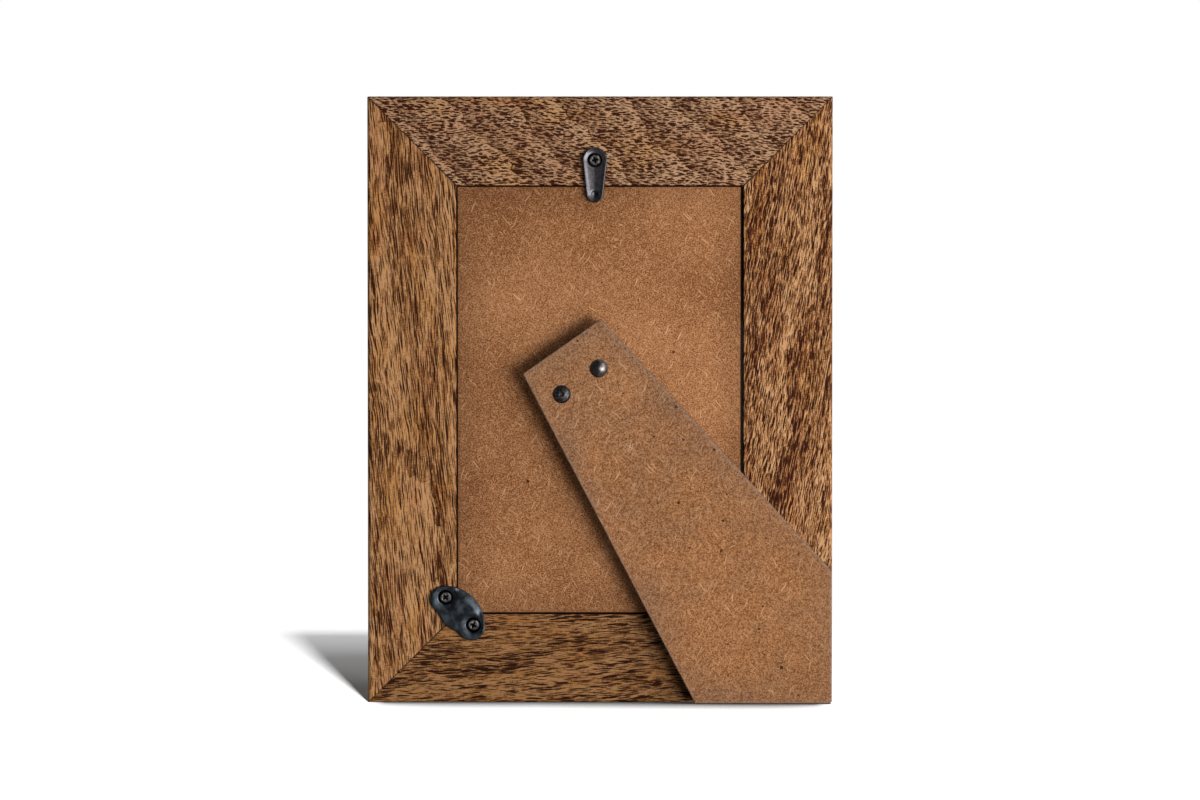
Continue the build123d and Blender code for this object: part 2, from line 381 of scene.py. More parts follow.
def plate_shape(low: Array, high: Array, height: Relief, shares: Array) -> Shape:
    """Pressed plate between two outline curves.

    Point (t, s) of the upper face is low(t) + share(s) * (high(t) - low(t)), lifted by the height
    there. The lower face is flat, at height zero.

    Args:
        low: One half of the outline, from end to end.
        high: Other half, with as many points and the same ends.
        height: Height of the upper face over points in the plane, and the painted shade there.
        shares: Places from one half to the other, from 0 to 1.

    Returns:
        The plate in its own plane, lifted along the third axis.
    """
    flat = low[:, None] + shares[None, :, None] * (high - low)[:, None]
    rows, columns = flat.shape[:2]
    flat = flat.reshape(-1, 2)
    tall, shade_and_dirt = height(flat)
    upper = np.column_stack([flat, tall])
    number = np.arange(rows * columns).reshape(rows, columns)
    rim = np.concatenate([number[:, 0], number[-2:0:-1, -1]])
    under = np.column_stack([flat[rim], np.zeros(len(rim))])
    foot = len(upper) + np.arange(len(rim))
    wall = np.stack([rim, np.roll(rim, -1), np.roll(foot, -1), foot], axis=1)
    marks = {"shade_and_dirt": np.concatenate([shade_and_dirt, shade_and_dirt[rim]])}
    faces = [grid_quads(rows, columns), wall, foot[None]]
    return Shape(np.vstack([upper, under]), faces, marks)


def turned_shape(profile: Array, columns: int, lift: Lift) -> Shape:
    """Round piece: a profile of radius and height carried round an axis.

    Point (k, a) is (radius k * cos a, radius k * sin a, height k + lift(k, a)).

    Args:
        profile: Radius and height, one row each, from pole to pole.
        columns: Points round the axis.
        lift: Change of height, and darkening by dirt and painted shade, over the points' places in the
        plane and the heights of their rows.

    Returns:
        The piece in its own frame, with the third axis along it.
    """
    angle = np.arange(columns) * 2 * np.pi / columns
    across = profile[:, :1] * np.cos(angle)
    up = profile[:, :1] * np.sin(angle)
    flat = np.stack([across, up], axis=2).reshape(-1, 2)
    tall = np.repeat(profile[:, 1], columns)
    change, shade_and_dirt = lift(flat, tall)
    points = np.column_stack([flat, tall + change])
    return Shape(points, [grid_quads(len(profile), columns, True)], {"shade_and_dirt": shade_and_dirt})


def seated(shape: Shape, right: float, up: float, depth: float, turn: float = 0.0) -> Shape:
    """The shape set on the back of the frame.

    Its plane axes run to the right and up as the back is seen, turned anticlockwise, and its third
    axis comes out of the back.

    Args:
        shape: Shape in its own plane.
        right: Place to the right of the middle.
        up: Place above the table.
        depth: Depth of the shape's own zero.
        turn: Turn in degrees.

    Returns:
        The same shape in the frame that all pieces share.
    """
    angle = np.radians(turn)
    across, rise, out = shape.points.T
    x = right + across * np.cos(angle) - rise * np.sin(angle)
    z = up + across * np.sin(angle) + rise * np.cos(angle)
    return Shape(np.column_stack([-x, depth + out, z]), shape.faces, shape.marks)


def smooth(value: Array, low: float, high: float) -> Array:
    """Smooth step from 0 at low to 1 at high."""
    share = np.clip((value - low) / (high - low), 0, 1)
    return share * share * (3 - 2 * share)


def bell(away: Array, middle: float, spread: float) -> Array:
    """Bell curve: e to the power of less the squared distance from its middle, over its spread."""
    return np.exp(-((away - middle) ** 2) / spread)


def eased_ends(count: int) -> Array:
    """Shares from 0 to 1 that crowd towards both ends."""
    return (1 - np.cos(np.linspace(0, np.pi, count))) / 2


# Finishes


class Graph:
    """Node tree of a material or of the world, with short calls for the nodes that they use."""

    def __init__(self, owner: bpy.types.Material | bpy.types.World) -> None:
        """Start the nodes of a new material or world.

        Args:
            owner: What the nodes belong to.
        """
        owner.use_nodes = True
        self.owner = owner
        self.tree = owner.node_tree

    def feed(self, socket: Socket, value: Value | Sequence[float]) -> None:
        """Link a socket to another node's output, or set it.

        Args:
            socket: Input of a node.
            value: The other node's output, or what the input is set to.
        """
        if isinstance(value, bpy.types.NodeSocket):
            self.tree.links.new(value, socket)
        else:
            socket.default_value = value

    def put(self, kind: str, feeds: Feeds, **settings: str) -> bpy.types.Node:
        """Add a node.

        Args:
            kind: Name of the node's type, without its first word.
            feeds: Values or sockets by the name or number of the input.
            settings: Options of the node.

        Returns:
            The new node.
        """
        made = self.tree.nodes.new("ShaderNode" + kind)
        for option, choice in settings.items():
            setattr(made, option, choice)
        for name, value in feeds.items():
            self.feed(made.inputs[name], value)
        return made

    def dress(self, **feeds: Value | Sequence[float]) -> bpy.types.Material:
        """Set the sockets of the surface.

        Args:
            feeds: Values or sockets by the name of the input, with underscores for spaces.

        Returns:
            The finished material.
        """
        sockets = self.tree.nodes["Principled BSDF"].inputs
        for name, value in feeds.items():
            self.feed(sockets[name.replace("_", " ")], value)
        return self.owner

    def math(self, operation: str, *values: Value) -> Socket:
        """Output of a sum or other operation on numbers."""
        return self.put("Math", dict(enumerate(values)), operation=operation).outputs[0]

    def plus(self, first: Value, second: Value) -> Socket:
        """Sum of two numbers."""
        return self.math("ADD", first, second)

    def times(self, first: Value, second: Value) -> Socket:
        """Product of two numbers."""
        return self.math("MULTIPLY", first, second)

    def swing(self, value: Value, reach: float, middle: float = 0.0) -> Socket:
        """Number from 0 to 1 made to run a reach either side of a middle."""
        return self.math("MULTIPLY_ADD", value, 2 * reach, middle - reach)

    def step(
        self, value: Value, low: float, high: float, start: float = 0.0, end: float = 1.0
    ) -> Socket:
        """Smooth step from start, at low, to end, at high, which may be the smaller one."""
        feeds = {"Value": value, "From Min": low, "From Max": high, "To Min": start, "To Max": end}
        return self.put("MapRange", feeds, interpolation_type="SMOOTHSTEP").outputs[0]

    def place(self) -> tuple[Socket, Socket, Socket]:
        """Place on the object.

        Returns:
            The three parts of the place, in millimetres.
        """
        spot = self.put("TexCoord", {}).outputs["Object"]
        feeds = {0: spot, 1: (1 / MM,) * 3}
        scaled = self.put("VectorMath", feeds, operation="MULTIPLY").outputs[0]
        parts = self.put("SeparateXYZ", {0: scaled}).outputs
        return parts[0], parts[1], parts[2]

    def vector(self, x: Value, y: Value, z: Value) -> Socket:
        """Vector of three numbers."""
        return self.put("CombineXYZ", {0: x, 1: y, 2: z}).outputs[0]

    def stretch(self, vector: Socket, sizes: Sequence[float], seed: float) -> Socket:
        """Vector counted in cells.

        Args:
            vector: Vector in millimetres.
            sizes: Sizes of a cell along the three axes.
            seed: Place in the endless pattern.

        Returns:
            The vector over the sizes, moved by the seed.
        """
        shares = tuple(1 / size for size in sizes)
        moved = tuple(step * seed for step in SEED_STEPS)
        feeds = {0: vector, 1: shares, 2: moved}
        return self.put("VectorMath", feeds, operation="MULTIPLY_ADD").outputs[0]

    def noise(self, vector: Socket, detail: float = 1.0, roughness: float = 0.5) -> Socket:
        """Soft noise from 0 to 1, one swell to each unit of the vector."""
        feeds = {"Vector": vector, "Scale": 1.0, "Detail": detail, "Roughness": roughness}
        return self.put("TexNoise", feeds).outputs[0]

    def cells(self, vector: Socket, scatter: float) -> tuple[Socket, Socket, Socket]:
        """Distance to the nearest of many points scattered in a plane, and two numbers of its own.

        Args:
            vector: Place, counted in cells, whose first two parts lie in the plane.
            scatter: How far the points lie from an even grid, from 0 to 1.

        Returns:
            The distance and the two numbers.
        """
        feeds = {"Vector": vector, "Scale": 1.0, "Randomness": scatter}
        made = self.put("TexVoronoi", feeds, voronoi_dimensions="2D")
        own = self.put("SeparateColor", {0: made.outputs["Color"]}).outputs
        return made.outputs["Distance"], own[0], own[1]

    def blend(self, share: Value, first: Socket | Colour, second: Socket | Colour) -> Socket:
        """Colour that goes from the first to the second as the share goes from 0 to 1.

        Args:
            share: Share of the second colour.
            first: Colour, or output that gives it.
            second: Colour, or output that gives it.

        Returns:
            The blended colour.
        """
        ends = [c if isinstance(c, bpy.types.NodeSocket) else linear(c) for c in (first, second)]
        feeds = {0: share, 6: ends[0], 7: ends[1]}
        return self.put("Mix", feeds, data_type="RGBA").outputs[2]

    def shade(self, colour: Socket, amount: Value) -> Socket:
        """Colour made lighter or darker by a factor."""
        return self.put("VectorMath", {0: colour, "Scale": amount}, operation="SCALE").outputs[0]

    def tinted(self, colour: Socket, tint: Socket) -> Socket:
        """Colour multiplied by a tint."""
        return self.put("VectorMath", {0: colour, 1: tint}, operation="MULTIPLY").outputs[0]

    def ramp(self, value: Value, stops: Sequence[tuple[float, Colour]]) -> Socket:
        """Colour that runs through stops as the value goes from 0 to 1.

        Args:
            value: Value to colour.
            stops: Places on the way, each with its colour.

        Returns:
            The colour.
        """
        made = self.put("ValToRGB", {0: value})
        elements = made.color_ramp.elements
        for _ in range(len(stops) - len(elements)):
            elements.new(0.5)
        for element, (spot, colour) in zip(elements, stops):
            element.position = spot
            element.color = linear(colour)
        return made.outputs[0]

    def mark(self, name: str) -> Socket:
        """Number kept at the points of the mesh."""
        return self.put("Attribute", {}, attribute_name=name).outputs["Fac"]

    def bump(self, height: Value, depth: float, strength: float) -> Socket:
        """Normal of a surface raised by a height from 0 to 1 times a depth in millimetres."""
        feeds = {"Height": height, "Distance": depth * MM, "Strength": strength}
        return self.put("Bump", feeds).outputs[0]


@dataclass(frozen=True)
class MangoWood:
    """Oiled open-grain wood of one rail.

    All of its features add up to one lightness, and a ramp turns that into colours that grow redder
    as they darken. Growth rings grow paler from one dark line to the next. Pores are scattered dashes
    drawn out along the grain, which gather in lanes, and fine lines run between them.

    Attributes:
        grain: Way that the rail runs.
        middle: Middle of the rail, to the right and up.
        lean: Slope of the grain against the rail.
        flow: How far the grain wanders sideways.
        ring_lean: Angle from the rail to the ring lines, in degrees.
        ring_spacing: Distance from one ring's line to the next.
        ring_line: Strength of the rings' dark lines.
        dash: Length and width of the cells that each hold one dash.
        dash_reach: Size of a dash as a share of its cell.
        lane: Length and width of the lanes.
        lane_pull: How strongly the dashes keep to the lanes.
        hair: Length and width of the fine lines.
        hair_pull: Strength of the fine lines.
        streaks: Strength of the long dark lines.
        level: Middle lightness.
        tones: Colours from the darkest pore to the palest wood.
        tints: Tints of the warm and of the dull patches.
        seed: Place in the endless pattern.
        ring_pull: How far the lightness swings across a ring.
        fleck_pull: How far it swings with the short flecks.
        cloud_pull: How far it swings with the clouds.
        grit_pull: How far it swings with the finest grit.
        pore_pull: How much a pore takes from it.
        stagger: Share of its length by which a dash is moved against the one beside it.
        scatter: How far the dashes lie from an even grid, from 0 to 1.
        dirt: Colour of the dirt in the joints, and of the shade painted in the rebate.
    """

    grain: Grain
    middle: Pair
    lean: float
    flow: float
    ring_lean: float
    ring_spacing: float
    ring_line: float
    dash: Pair
    dash_reach: float
    lane: Pair
    lane_pull: float
    hair: Pair
    hair_pull: float
    streaks: float
    level: float
    tones: tuple[Colour, ...]
    tints: tuple[Colour, Colour]
    seed: float
    ring_pull: float = 0.16
    fleck_pull: float = 0.3
    cloud_pull: float = 0.16
    grit_pull: float = 0.45
    pore_pull: float = 2.1
    stagger: float = 0.38
    scatter: float = 0.82
    # The same colour paints the shade in the rebate.
    dirt: Colour = (26, 13, 6)

    def material(self, name: str) -> bpy.types.Material:
        """Build the finish.

        Args:
            name: Name of the new material.

        Returns:
            The material.
        """
        g = Graph(bpy.data.materials.new(name))
        x, depth, z = g.place()
        right = g.math("MULTIPLY_ADD", x, -1.0, -self.middle[0])
        up = g.plus(z, -self.middle[1])
        along, across = (right, up) if self.grain is Grain.LEVEL else (up, right)
        plain = g.vector(along, across, depth)

        slow = g.noise(g.stretch(plain, (55, 20, 24), self.seed))
        quick = g.noise(g.stretch(plain, (11, 5, 7), self.seed + 5))
        wander = g.plus(g.swing(slow, self.flow), g.swing(quick, 0.3 * self.flow))
        bent = g.plus(across, wander)
        fibre = g.vector(along, g.math("MULTIPLY_ADD", along, -self.lean, bent), depth)
        turned = g.math("MULTIPLY_ADD", along, -self.lean, g.plus(g.mark("girth"), wander))
        shear = self.stagger * self.dash[0] / self.dash[1]
        unrolled = g.vector(g.math("MULTIPLY_ADD", turned, shear, along), turned, 0.0)

        ring, line = self.rings(g, along, bent, plain)
        lane = g.noise(g.stretch(fibre, (*self.lane, self.lane[1]), self.seed + 19), 2, 0.6)
        pores = self.pores(g, unrolled, lane, ring)
        hair = g.noise(g.stretch(fibre, (*self.hair, self.hair[1]), self.seed + 7), 2, 0.6)
        fleck = g.noise(g.stretch(fibre, (1.6, 0.6, 0.6), self.seed + 9), 2, 0.65)
        level = self.lightness(g, plain, fibre, hair, fleck)
        banded = g.plus(g.swing(ring, self.ring_pull), g.swing(lane, -0.4 * self.lane_pull))
        level = g.math("MULTIPLY_ADD", line, -self.ring_line, g.plus(level, banded))
        level = g.math("MULTIPLY_ADD", pores, -self.pore_pull, level)

        spots = np.linspace(0, 1, len(self.tones)).tolist()
        tone = g.ramp(level, list(zip(spots, self.tones)))
        for tint, seed in zip(self.tints, (11, 43)):
            share = g.noise(g.stretch(plain, (26, 8, 9), self.seed + seed), 2)
            tone = g.tinted(tone, g.blend(g.step(share, 0.48, 0.68), WHITE, tint))
        joint = g.step(g.mark("joint"), 0.1, 0.34, 0.85, 0.0)
        # Dark joints are dirt; the darkening in the rebate is painted shade.
        tone = g.blend(g.math("MAXIMUM", joint, g.times(g.mark("rebate_shade"), 0.9)), tone, self.dirt)

        rough = g.plus(g.swing(fleck, 0.12, 0.56), g.times(pores, 0.22))
        relief = g.math("MULTIPLY_ADD", pores, -0.75, g.plus(0.75, g.swing(hair, 0.3)))
        return g.dress(
            Base_Color=tone,
            Roughness=rough,
            Normal=g.bump(relief, 0.1, 0.7),
            Specular_IOR_Level=0.12,
        )

    def lightness(
        self, g: Graph, plain: Socket, fibre: Socket, hair: Socket, fleck: Socket
    ) -> Socket:
        """Lightness of the wood between its pores.

        Args:
            g: Graph of the material.
            plain: Place in the rail.
            fibre: Place along the fibres.
            hair: Fine lines along the grain.
            fleck: Short flecks.

        Returns:
            The middle lightness with lines, flecks, clouds and long dark lines.
        """
        cloud = g.noise(g.stretch(plain, (12, 6, 6), self.seed + 2), 2)
        thread = g.noise(g.stretch(fibre, (40, 1.5, 1.5), self.seed + 23), 1)
        dark = g.step(g.math("ABSOLUTE", g.plus(thread, -0.5)), 0.012, 0.05, 1.0, 0.0)
        broken = g.step(g.noise(g.stretch(fibre, (9, 2.5, 2.5), self.seed + 29), 1), 0.42, 0.6)
        grit = g.noise(g.stretch(plain, (0.45, 0.9, 0.6), self.seed + 1), 1)
        patches = g.plus(g.swing(fleck, self.fleck_pull), g.swing(cloud, self.cloud_pull))
        light = g.plus(g.swing(hair, self.hair_pull, self.level), patches)
        light = g.plus(light, g.swing(grit, self.grit_pull))
        return g.math("MULTIPLY_ADD", g.times(dark, broken), -self.streaks, light)

    def rings(self, g: Graph, along: Socket, bent: Socket, plain: Socket) -> tuple[Socket, Socket]:
        """Place in the growth rings.

        Args:
            g: Graph of the material.
            along: Place along the rail.
            bent: Place across the grain, as it wanders.
            plain: Place in the rail as a vector.

        Returns:
            Share of the ring from its line to the next, and the strength of the broken line.
        """
        angle = np.radians(self.ring_lean)
        sway = g.swing(g.noise(g.stretch(plain, (24, 14, 18), self.seed + 3), 3, 0.55), 0.5)
        across = g.times(bent, float(np.cos(angle)) / self.ring_spacing)
        count = g.math("MULTIPLY_ADD", along, -float(np.sin(angle)) / self.ring_spacing, across)
        ring = g.math("FRACT", g.plus(count, sway))
        broken = g.step(g.noise(g.stretch(plain, (4, 3, 3), self.seed + 8), 2), 0.36, 0.6)
        line = g.step(g.times(ring, self.ring_spacing), 0.12, 0.42, 1.0, 0.0)
        return ring, g.times(line, broken)

    def pores(self, g: Graph, unrolled: Socket, lane: Socket, ring: Socket) -> Socket:
        """Dashes of the open pores, in two sizes.

        A dash fills its scattered cell out to a size that differs from cell to cell, and that grows in
        the lanes and after the rings' lines.

        Args:
            g: Graph of the material.
            unrolled: Place along the fibres and round the rail.
            lane: How far the place lies in a lane.
            ring: Share of the growth ring.

        Returns:
            Strength of the dashes.
        """
        drawn = g.step(lane, 0.34, 0.62, 1 - self.lane_pull, 1 + 0.25 * self.lane_pull)
        dense = g.plus(drawn, g.swing(ring, -0.08))
        strongest: Value = 0.0
        for scale, strength, seed in ((1.0, 1.0, 0.0), (0.6, 0.75, 31.0)):
            sizes = (scale * self.dash[0], scale * self.dash[1], 1.0)
            place = g.stretch(unrolled, sizes, self.seed + seed)
            distance, chance, shade = g.cells(place, self.scatter)
            size = g.times(g.times(dense, self.dash_reach), g.swing(chance, 0.35, 0.97))
            filled = g.step(g.math("SUBTRACT", distance, size), 0.06, -0.06)
            mask = g.times(filled, g.swing(shade, 0.3, 0.78))
            strongest = g.math("MAXIMUM", strongest, g.times(mask, strength))
        return strongest


@dataclass(frozen=True)
class FibreBoard:
    """Raw hardboard of pressed wood fibre.

    Attributes:
        tones: Dark, middle and light colour of the speckle.
        side: Colour of the sawn sides; the panel's near black is partly painted shade in the gap.
        worn: Colour of the worn edges, which on the leg is partly painted light on its eased edges.
        wear: Strength of the rubbing, and of that painted edge light.
        drift: Change of lightness for each millimetre to the right.
        edge_darkening: Strength of the darkening towards the edges.
        blotch: Strength of the broad blotches.
        dots: Share of the patches that hold a dark dot.
        dust: Strength of the grey dust in patches.
        dusty: Heights between which the dust comes in.
        press: Middle, to the left and up, and radius of a faint ring that a tool pressed in, which at
            radius 0 is a spot.
        seed: Place in the endless pattern.
        fibre: Colour of the pale fibres.
        dot: Colour of the dots.
        film: Tint of the dust.
        bruise: Colour of the pressed ring.
    """

    tones: tuple[Colour, Colour, Colour]
    side: Colour
    worn: Colour
    wear: float
    drift: float
    edge_darkening: float
    blotch: float
    dots: float
    dust: float
    dusty: Pair
    press: Triple
    seed: float
    fibre: Colour = (220, 168, 122)
    dot: Colour = (44, 24, 14)
    film: Colour = (222, 234, 255)
    bruise: Colour = (96, 62, 40)

    def material(self, name: str) -> bpy.types.Material:
        """Build the finish.

        Args:
            name: Name of the new material.

        Returns:
            The material.
        """
        g = Graph(bpy.data.materials.new(name))
        x, depth, z = g.place()
        spot = g.vector(x, depth, z)
        speck = g.noise(g.stretch(spot, (0.5, 0.5, 0.5), self.seed), 2, 0.75)
        grit = g.noise(g.stretch(spot, (0.4, 0.4, 0.4), self.seed + 4), 2, 0.6)
        blotch = g.noise(g.stretch(spot, (40, 40, 40), self.seed + 8), 3, 0.6)
        uneven = g.plus(g.swing(grit, 1.0), g.swing(blotch, self.blotch))
        mixed = g.plus(g.swing(speck, 1.75, 0.43), uneven)
        tone = g.ramp(mixed, [(0.0, self.tones[0]), (0.5, self.tones[1]), (1.0, self.tones[2])])

        fibres = self.fibres(g, x, z)
        tone = g.blend(fibres, tone, self.fibre)
        tone = g.blend(g.times(self.spots(g, x, z), 0.9), tone, self.dot)
        tone = g.shade(tone, g.math("MULTIPLY_ADD", x, -self.drift, 1.0))
        rim = g.mark("rim")
        tone = g.blend(g.step(rim, 0.0, FACE_INSETS[0], self.edge_darkening, 0.0), tone, self.side)
        film = g.noise(g.stretch(spot, (17, 17, 17), self.seed + 21), 3, 0.6)
        film = g.plus(film, g.step(z, *self.dusty, -0.12, 0.08))
        tone = g.tinted(tone, g.blend(g.step(film, 0.3, 0.64, 0.0, self.dust), WHITE, self.film))
        tone = g.blend(g.times(self.pressed(g, x, z), 0.45), tone, self.bruise)

        # Sides take the side colour; on the panel this near black is partly painted shade in the gap.
        tone = g.blend(g.step(rim, 0.05, 0.2, 1.0, 0.0), tone, self.side)
        # Rubbed rim near the edges; on the leg this greyish rim is partly painted light on the eased
        # edge.
        rub_and_edge_light = g.times(g.step(rim, 0.5, 1.3, 1.0, 0.0), g.step(rim, 0.0, 0.12))
        rub_and_edge_light = g.times(rub_and_edge_light, g.step(speck, 0.38, 0.6))
        tone = g.blend(g.times(rub_and_edge_light, self.wear), tone, self.worn)
        rough = g.swing(grit, 0.14, 0.8)
        relief = g.plus(g.times(speck, 0.5), g.plus(g.times(grit, 0.25), g.times(fibres, 0.3)))
        return g.dress(
            Base_Color=tone,
            Roughness=rough,
            Normal=g.bump(relief, 0.08, 0.6),
            Specular_IOR_Level=0.14,
        )

    def spots(self, g: Graph, x: Socket, z: Socket) -> Socket:
        """Strength of the dark dots, one to a patch, in the share of the patches that hold one.

        Args:
            g: Graph of the material.
            x: Place to the left.
            z: Place upwards.

        Returns:
            1 in the dots and 0 between them.
        """
        place = g.stretch(g.vector(x, z, 0.0), (13, 13, 1), self.seed + 2)
        distance, chance, _ = g.cells(place, 1.0)
        size = g.step(chance, 1 - self.dots, 1.0, 0.016, 0.046)
        filled = g.step(g.math("SUBTRACT", distance, size), 0.006, -0.006)
        return g.times(filled, g.math("GREATER_THAN", chance, 1 - self.dots))

    def pressed(self, g: Graph, x: Socket, z: Socket) -> Socket:
        """Strength of the pressed ring: a soft band round its radius.

        Args:
            g: Graph of the material.
            x: Place to the left.
            z: Place upwards.

        Returns:
            1 in the ring and 0 beside it.
        """
        left, up, radius = self.press
        sides = [g.math("POWER", g.plus(x, -left), 2.0), g.math("POWER", g.plus(z, -up), 2.0)]
        away = g.math("SQRT", g.plus(*sides))
        return g.step(g.math("ABSOLUTE", g.plus(away, -radius)), 0.1, 0.5, 1.0, 0.0)

    def fibres(self, g: Graph, x: Socket, z: Socket) -> Socket:
        """Strength of pale fibres.

        Fibres are dashes that lie several ways across the board and bend a little, short faint ones in
        half of their cells and long ones in a few.

        Args:
            g: Graph of the material.
            x: Place to the left.
            z: Place upwards.

        Returns:
            The strongest fibre at each place.
        """
        bend = g.swing(g.noise(g.stretch(g.vector(x, 0.0, z), (4, 4, 4), self.seed + 13), 1), 1.2)
        strongest: Value = 0.0
        short, long = (4.0, 0.55, 1.0), (11.0, 0.75, 1.0)
        kinds = (
            (0.3, short, 0.5, 0.72),
            (1.3, short, 0.5, 0.72),
            (2.4, short, 0.5, 0.72),
            (0.8, long, 0.84, 1.0),
            (2.0, long, 0.84, 1.0),
        )
        for angle, sizes, least, strength in kinds:
            cos, sin = float(np.cos(angle)), float(np.sin(angle))
            along = g.math("MULTIPLY_ADD", x, cos, g.times(z, sin))
            across = g.math("MULTIPLY_ADD", x, -sin, g.math("MULTIPLY_ADD", z, cos, bend))
            place = g.stretch(g.vector(along, across, 0.0), sizes, self.seed + 7 * angle)
            distance, chance, shade = g.cells(place, 1.0)
            size = g.step(chance, least, 1.0, 0.08, 0.2)
            filled = g.step(g.math("SUBTRACT", distance, size), 0.05, -0.05)
            dash = g.times(filled, g.swing(shade, 0.4, 0.6))
            there = g.times(g.math("GREATER_THAN", chance, least), strength)
            strongest = g.math("MAXIMUM", strongest, g.times(dash, there))
        return strongest


@dataclass(frozen=True)
class BlackSteel:
    """Blackened steel with a mottled, slightly glossy skin, darkened by painted shade and by dirt.

    Attributes:
        dark: Colour of the skin.
        light: Colour of its lighter mottles.
        gloss: Middle roughness.
        grain: Depth of the skin's unevenness.
        seed: Place in the endless pattern.
        patch: Size of the mottles.
        dirt: How much marked places darken, with painted shade and with the dirt in a rivet's dent.
    """

    dark: Colour
    light: Colour
    gloss: float
    grain: float
    seed: float
    patch: float = 0.9
    dirt: float = 0.96

    def material(self, name: str) -> bpy.types.Material:
        """Build the finish.

        Args:
            name: Name of the new material.

        Returns:
            The material.
        """
        g = Graph(bpy.data.materials.new(name))
        spot = g.vector(*g.place())
        mottle = g.noise(g.stretch(spot, (self.patch,) * 3, self.seed), 4, 0.6)
        grit = g.noise(g.stretch(spot, (0.3, 0.3, 0.3), self.seed + 3), 2, 0.6)
        scratch = g.noise(g.stretch(spot, (0.16, 3.0, 4.0), self.seed + 5), 2, 0.6)
        tone = g.blend(g.step(mottle, 0.38, 0.7), self.dark, self.light)
        scratched = g.step(scratch, 0.64, 0.78, 0.0, 0.35)
        tone = g.shade(tone, g.plus(g.swing(grit, 0.3, 1.0), scratched))
        # Marked places darken: painted shade in hollows, on edges and on a rivet's left; dirt in a dent.
        tone = g.shade(tone, g.math("MULTIPLY_ADD", g.mark("shade_and_dirt"), -self.dirt, 1.0))
        relief = g.plus(g.times(mottle, 0.6), g.times(grit, 0.3))
        return g.dress(
            Base_Color=tone,
            Metallic=1.0,
            Roughness=g.plus(g.swing(mottle, 0.14, self.gloss), g.swing(grit, 0.06)),
            Normal=g.bump(relief, self.grain, 0.6),
        )


@dataclass(frozen=True)
class BareSteel:
    """Bare rolled steel of the hinge, its rivets and the brads.

    Attributes:
        dark: Colour of the dull places.
        light: Colour of the bright places.
        gloss: Middle roughness.
    """

    dark: Colour
    light: Colour
    gloss: float

    def material(self, name: str) -> bpy.types.Material:
        """Build the finish.

        Args:
            name: Name of the new material.

        Returns:
            The material.
        """
        g = Graph(bpy.data.materials.new(name))
        spot = g.vector(*g.place())
        rolled = g.noise(g.stretch(spot, (9, 0.9, 0.35), 2), 3, 0.6)
        dull = g.noise(g.stretch(spot, (4, 4, 4), 5), 3, 0.6)
        bright = g.step(g.plus(g.times(rolled, 0.6), g.times(dull, 0.4)), 0.3, 0.7)
        tone = g.blend(bright, self.dark, self.light)
        return g.dress(
            Base_Color=tone,
            Metallic=1.0,
            Roughness=g.swing(dull, 0.2, self.gloss),
            Normal=g.bump(rolled, 0.03, 0.5),
        )


@dataclass(frozen=True)
class ClearGlass:
    """Picture glass with a trace of dust, and with a dark border under the rebate's lip, painted shade.

    Attributes:
        tint: Colour of the glass.
        painted_shade: Colour of the border, painted shade for the gap round the panel.
        border: Half the width of the pane, and the width of its border.
    """

    tint: Colour
    painted_shade: Colour
    border: Pair

    def material(self, name: str) -> bpy.types.Material:
        """Build the finish.

        Args:
            name: Name of the new material.

        Returns:
            The material.
        """
        g = Graph(bpy.data.materials.new(name))
        x, y, z = g.place()
        spot = g.vector(x, y, z)
        dust = g.noise(g.stretch(spot, (14, 14, 14), 3), 4, 0.6)
        ripple = g.noise(g.stretch(spot, (40, 40, 40), 1), 1)
        half, wide = self.border
        # The border turns dark and opaque: painted shade for the gap round the panel.
        rim = g.step(g.math("ABSOLUTE", x), half - wide, half - 0.7 * wide)
        return g.dress(
            Base_Color=g.blend(rim, self.tint, self.painted_shade),
            Alpha=g.step(rim, 0.0, 1.0, 0.2, 1.0),
            Transmission_Weight=1.0,
            IOR=1.5,
            Roughness=g.step(dust, 0.4, 0.8, 0.0, 0.06),
            Normal=g.bump(ripple, 0.05, 0.3),
        )


@dataclass(frozen=True)
class PrintPaper:
    """Blank photo paper with a satin coat, a faint tooth and a dark back that is painted shade.

    Attributes:
        tones: Colours of the coat.
        back_shade: Colour of the sheet's back, painted shade for the gap round the panel.
        behind: Depth of the sheet's back.
    """

    tones: tuple[Colour, Colour]
    back_shade: Colour
    behind: float

    def material(self, name: str) -> bpy.types.Material:
        """Build the finish.

        Args:
            name: Name of the new material.

        Returns:
            The material.
        """
        g = Graph(bpy.data.materials.new(name))
        x, y, z = g.place()
        spot = g.vector(x, y, z)
        tooth = g.noise(g.stretch(spot, (0.5, 0.5, 0.5), 2), 3, 0.6)
        cloud = g.noise(g.stretch(spot, (30, 30, 30), 6), 2)
        tone = g.blend(g.plus(g.times(tooth, 0.4), g.times(cloud, 0.6)), *self.tones)
        behind = g.step(y, self.behind - 0.1, self.behind - 0.05)
        return g.dress(
            # The sheet's back is dark as painted shade for the gap round the panel.
            Base_Color=g.blend(behind, tone, self.back_shade),
            Roughness=g.swing(tooth, 0.1, 0.42),
            Normal=g.bump(tooth, 0.02, 0.4),
        )


# Sub-assemblies


def dress_node(name: str, material: bpy.types.Material) -> None:
    """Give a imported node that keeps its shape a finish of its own.

    Args:
        name: Name of the node.
        material: Its finish.
    """
    held = frame["nodes"][name]
    if not held.material_slots:
        held.data.materials.append(material)
    for place in held.material_slots:
        place.material = material
    LOG.info("%s: packed shape, finish %s", name, material.name)


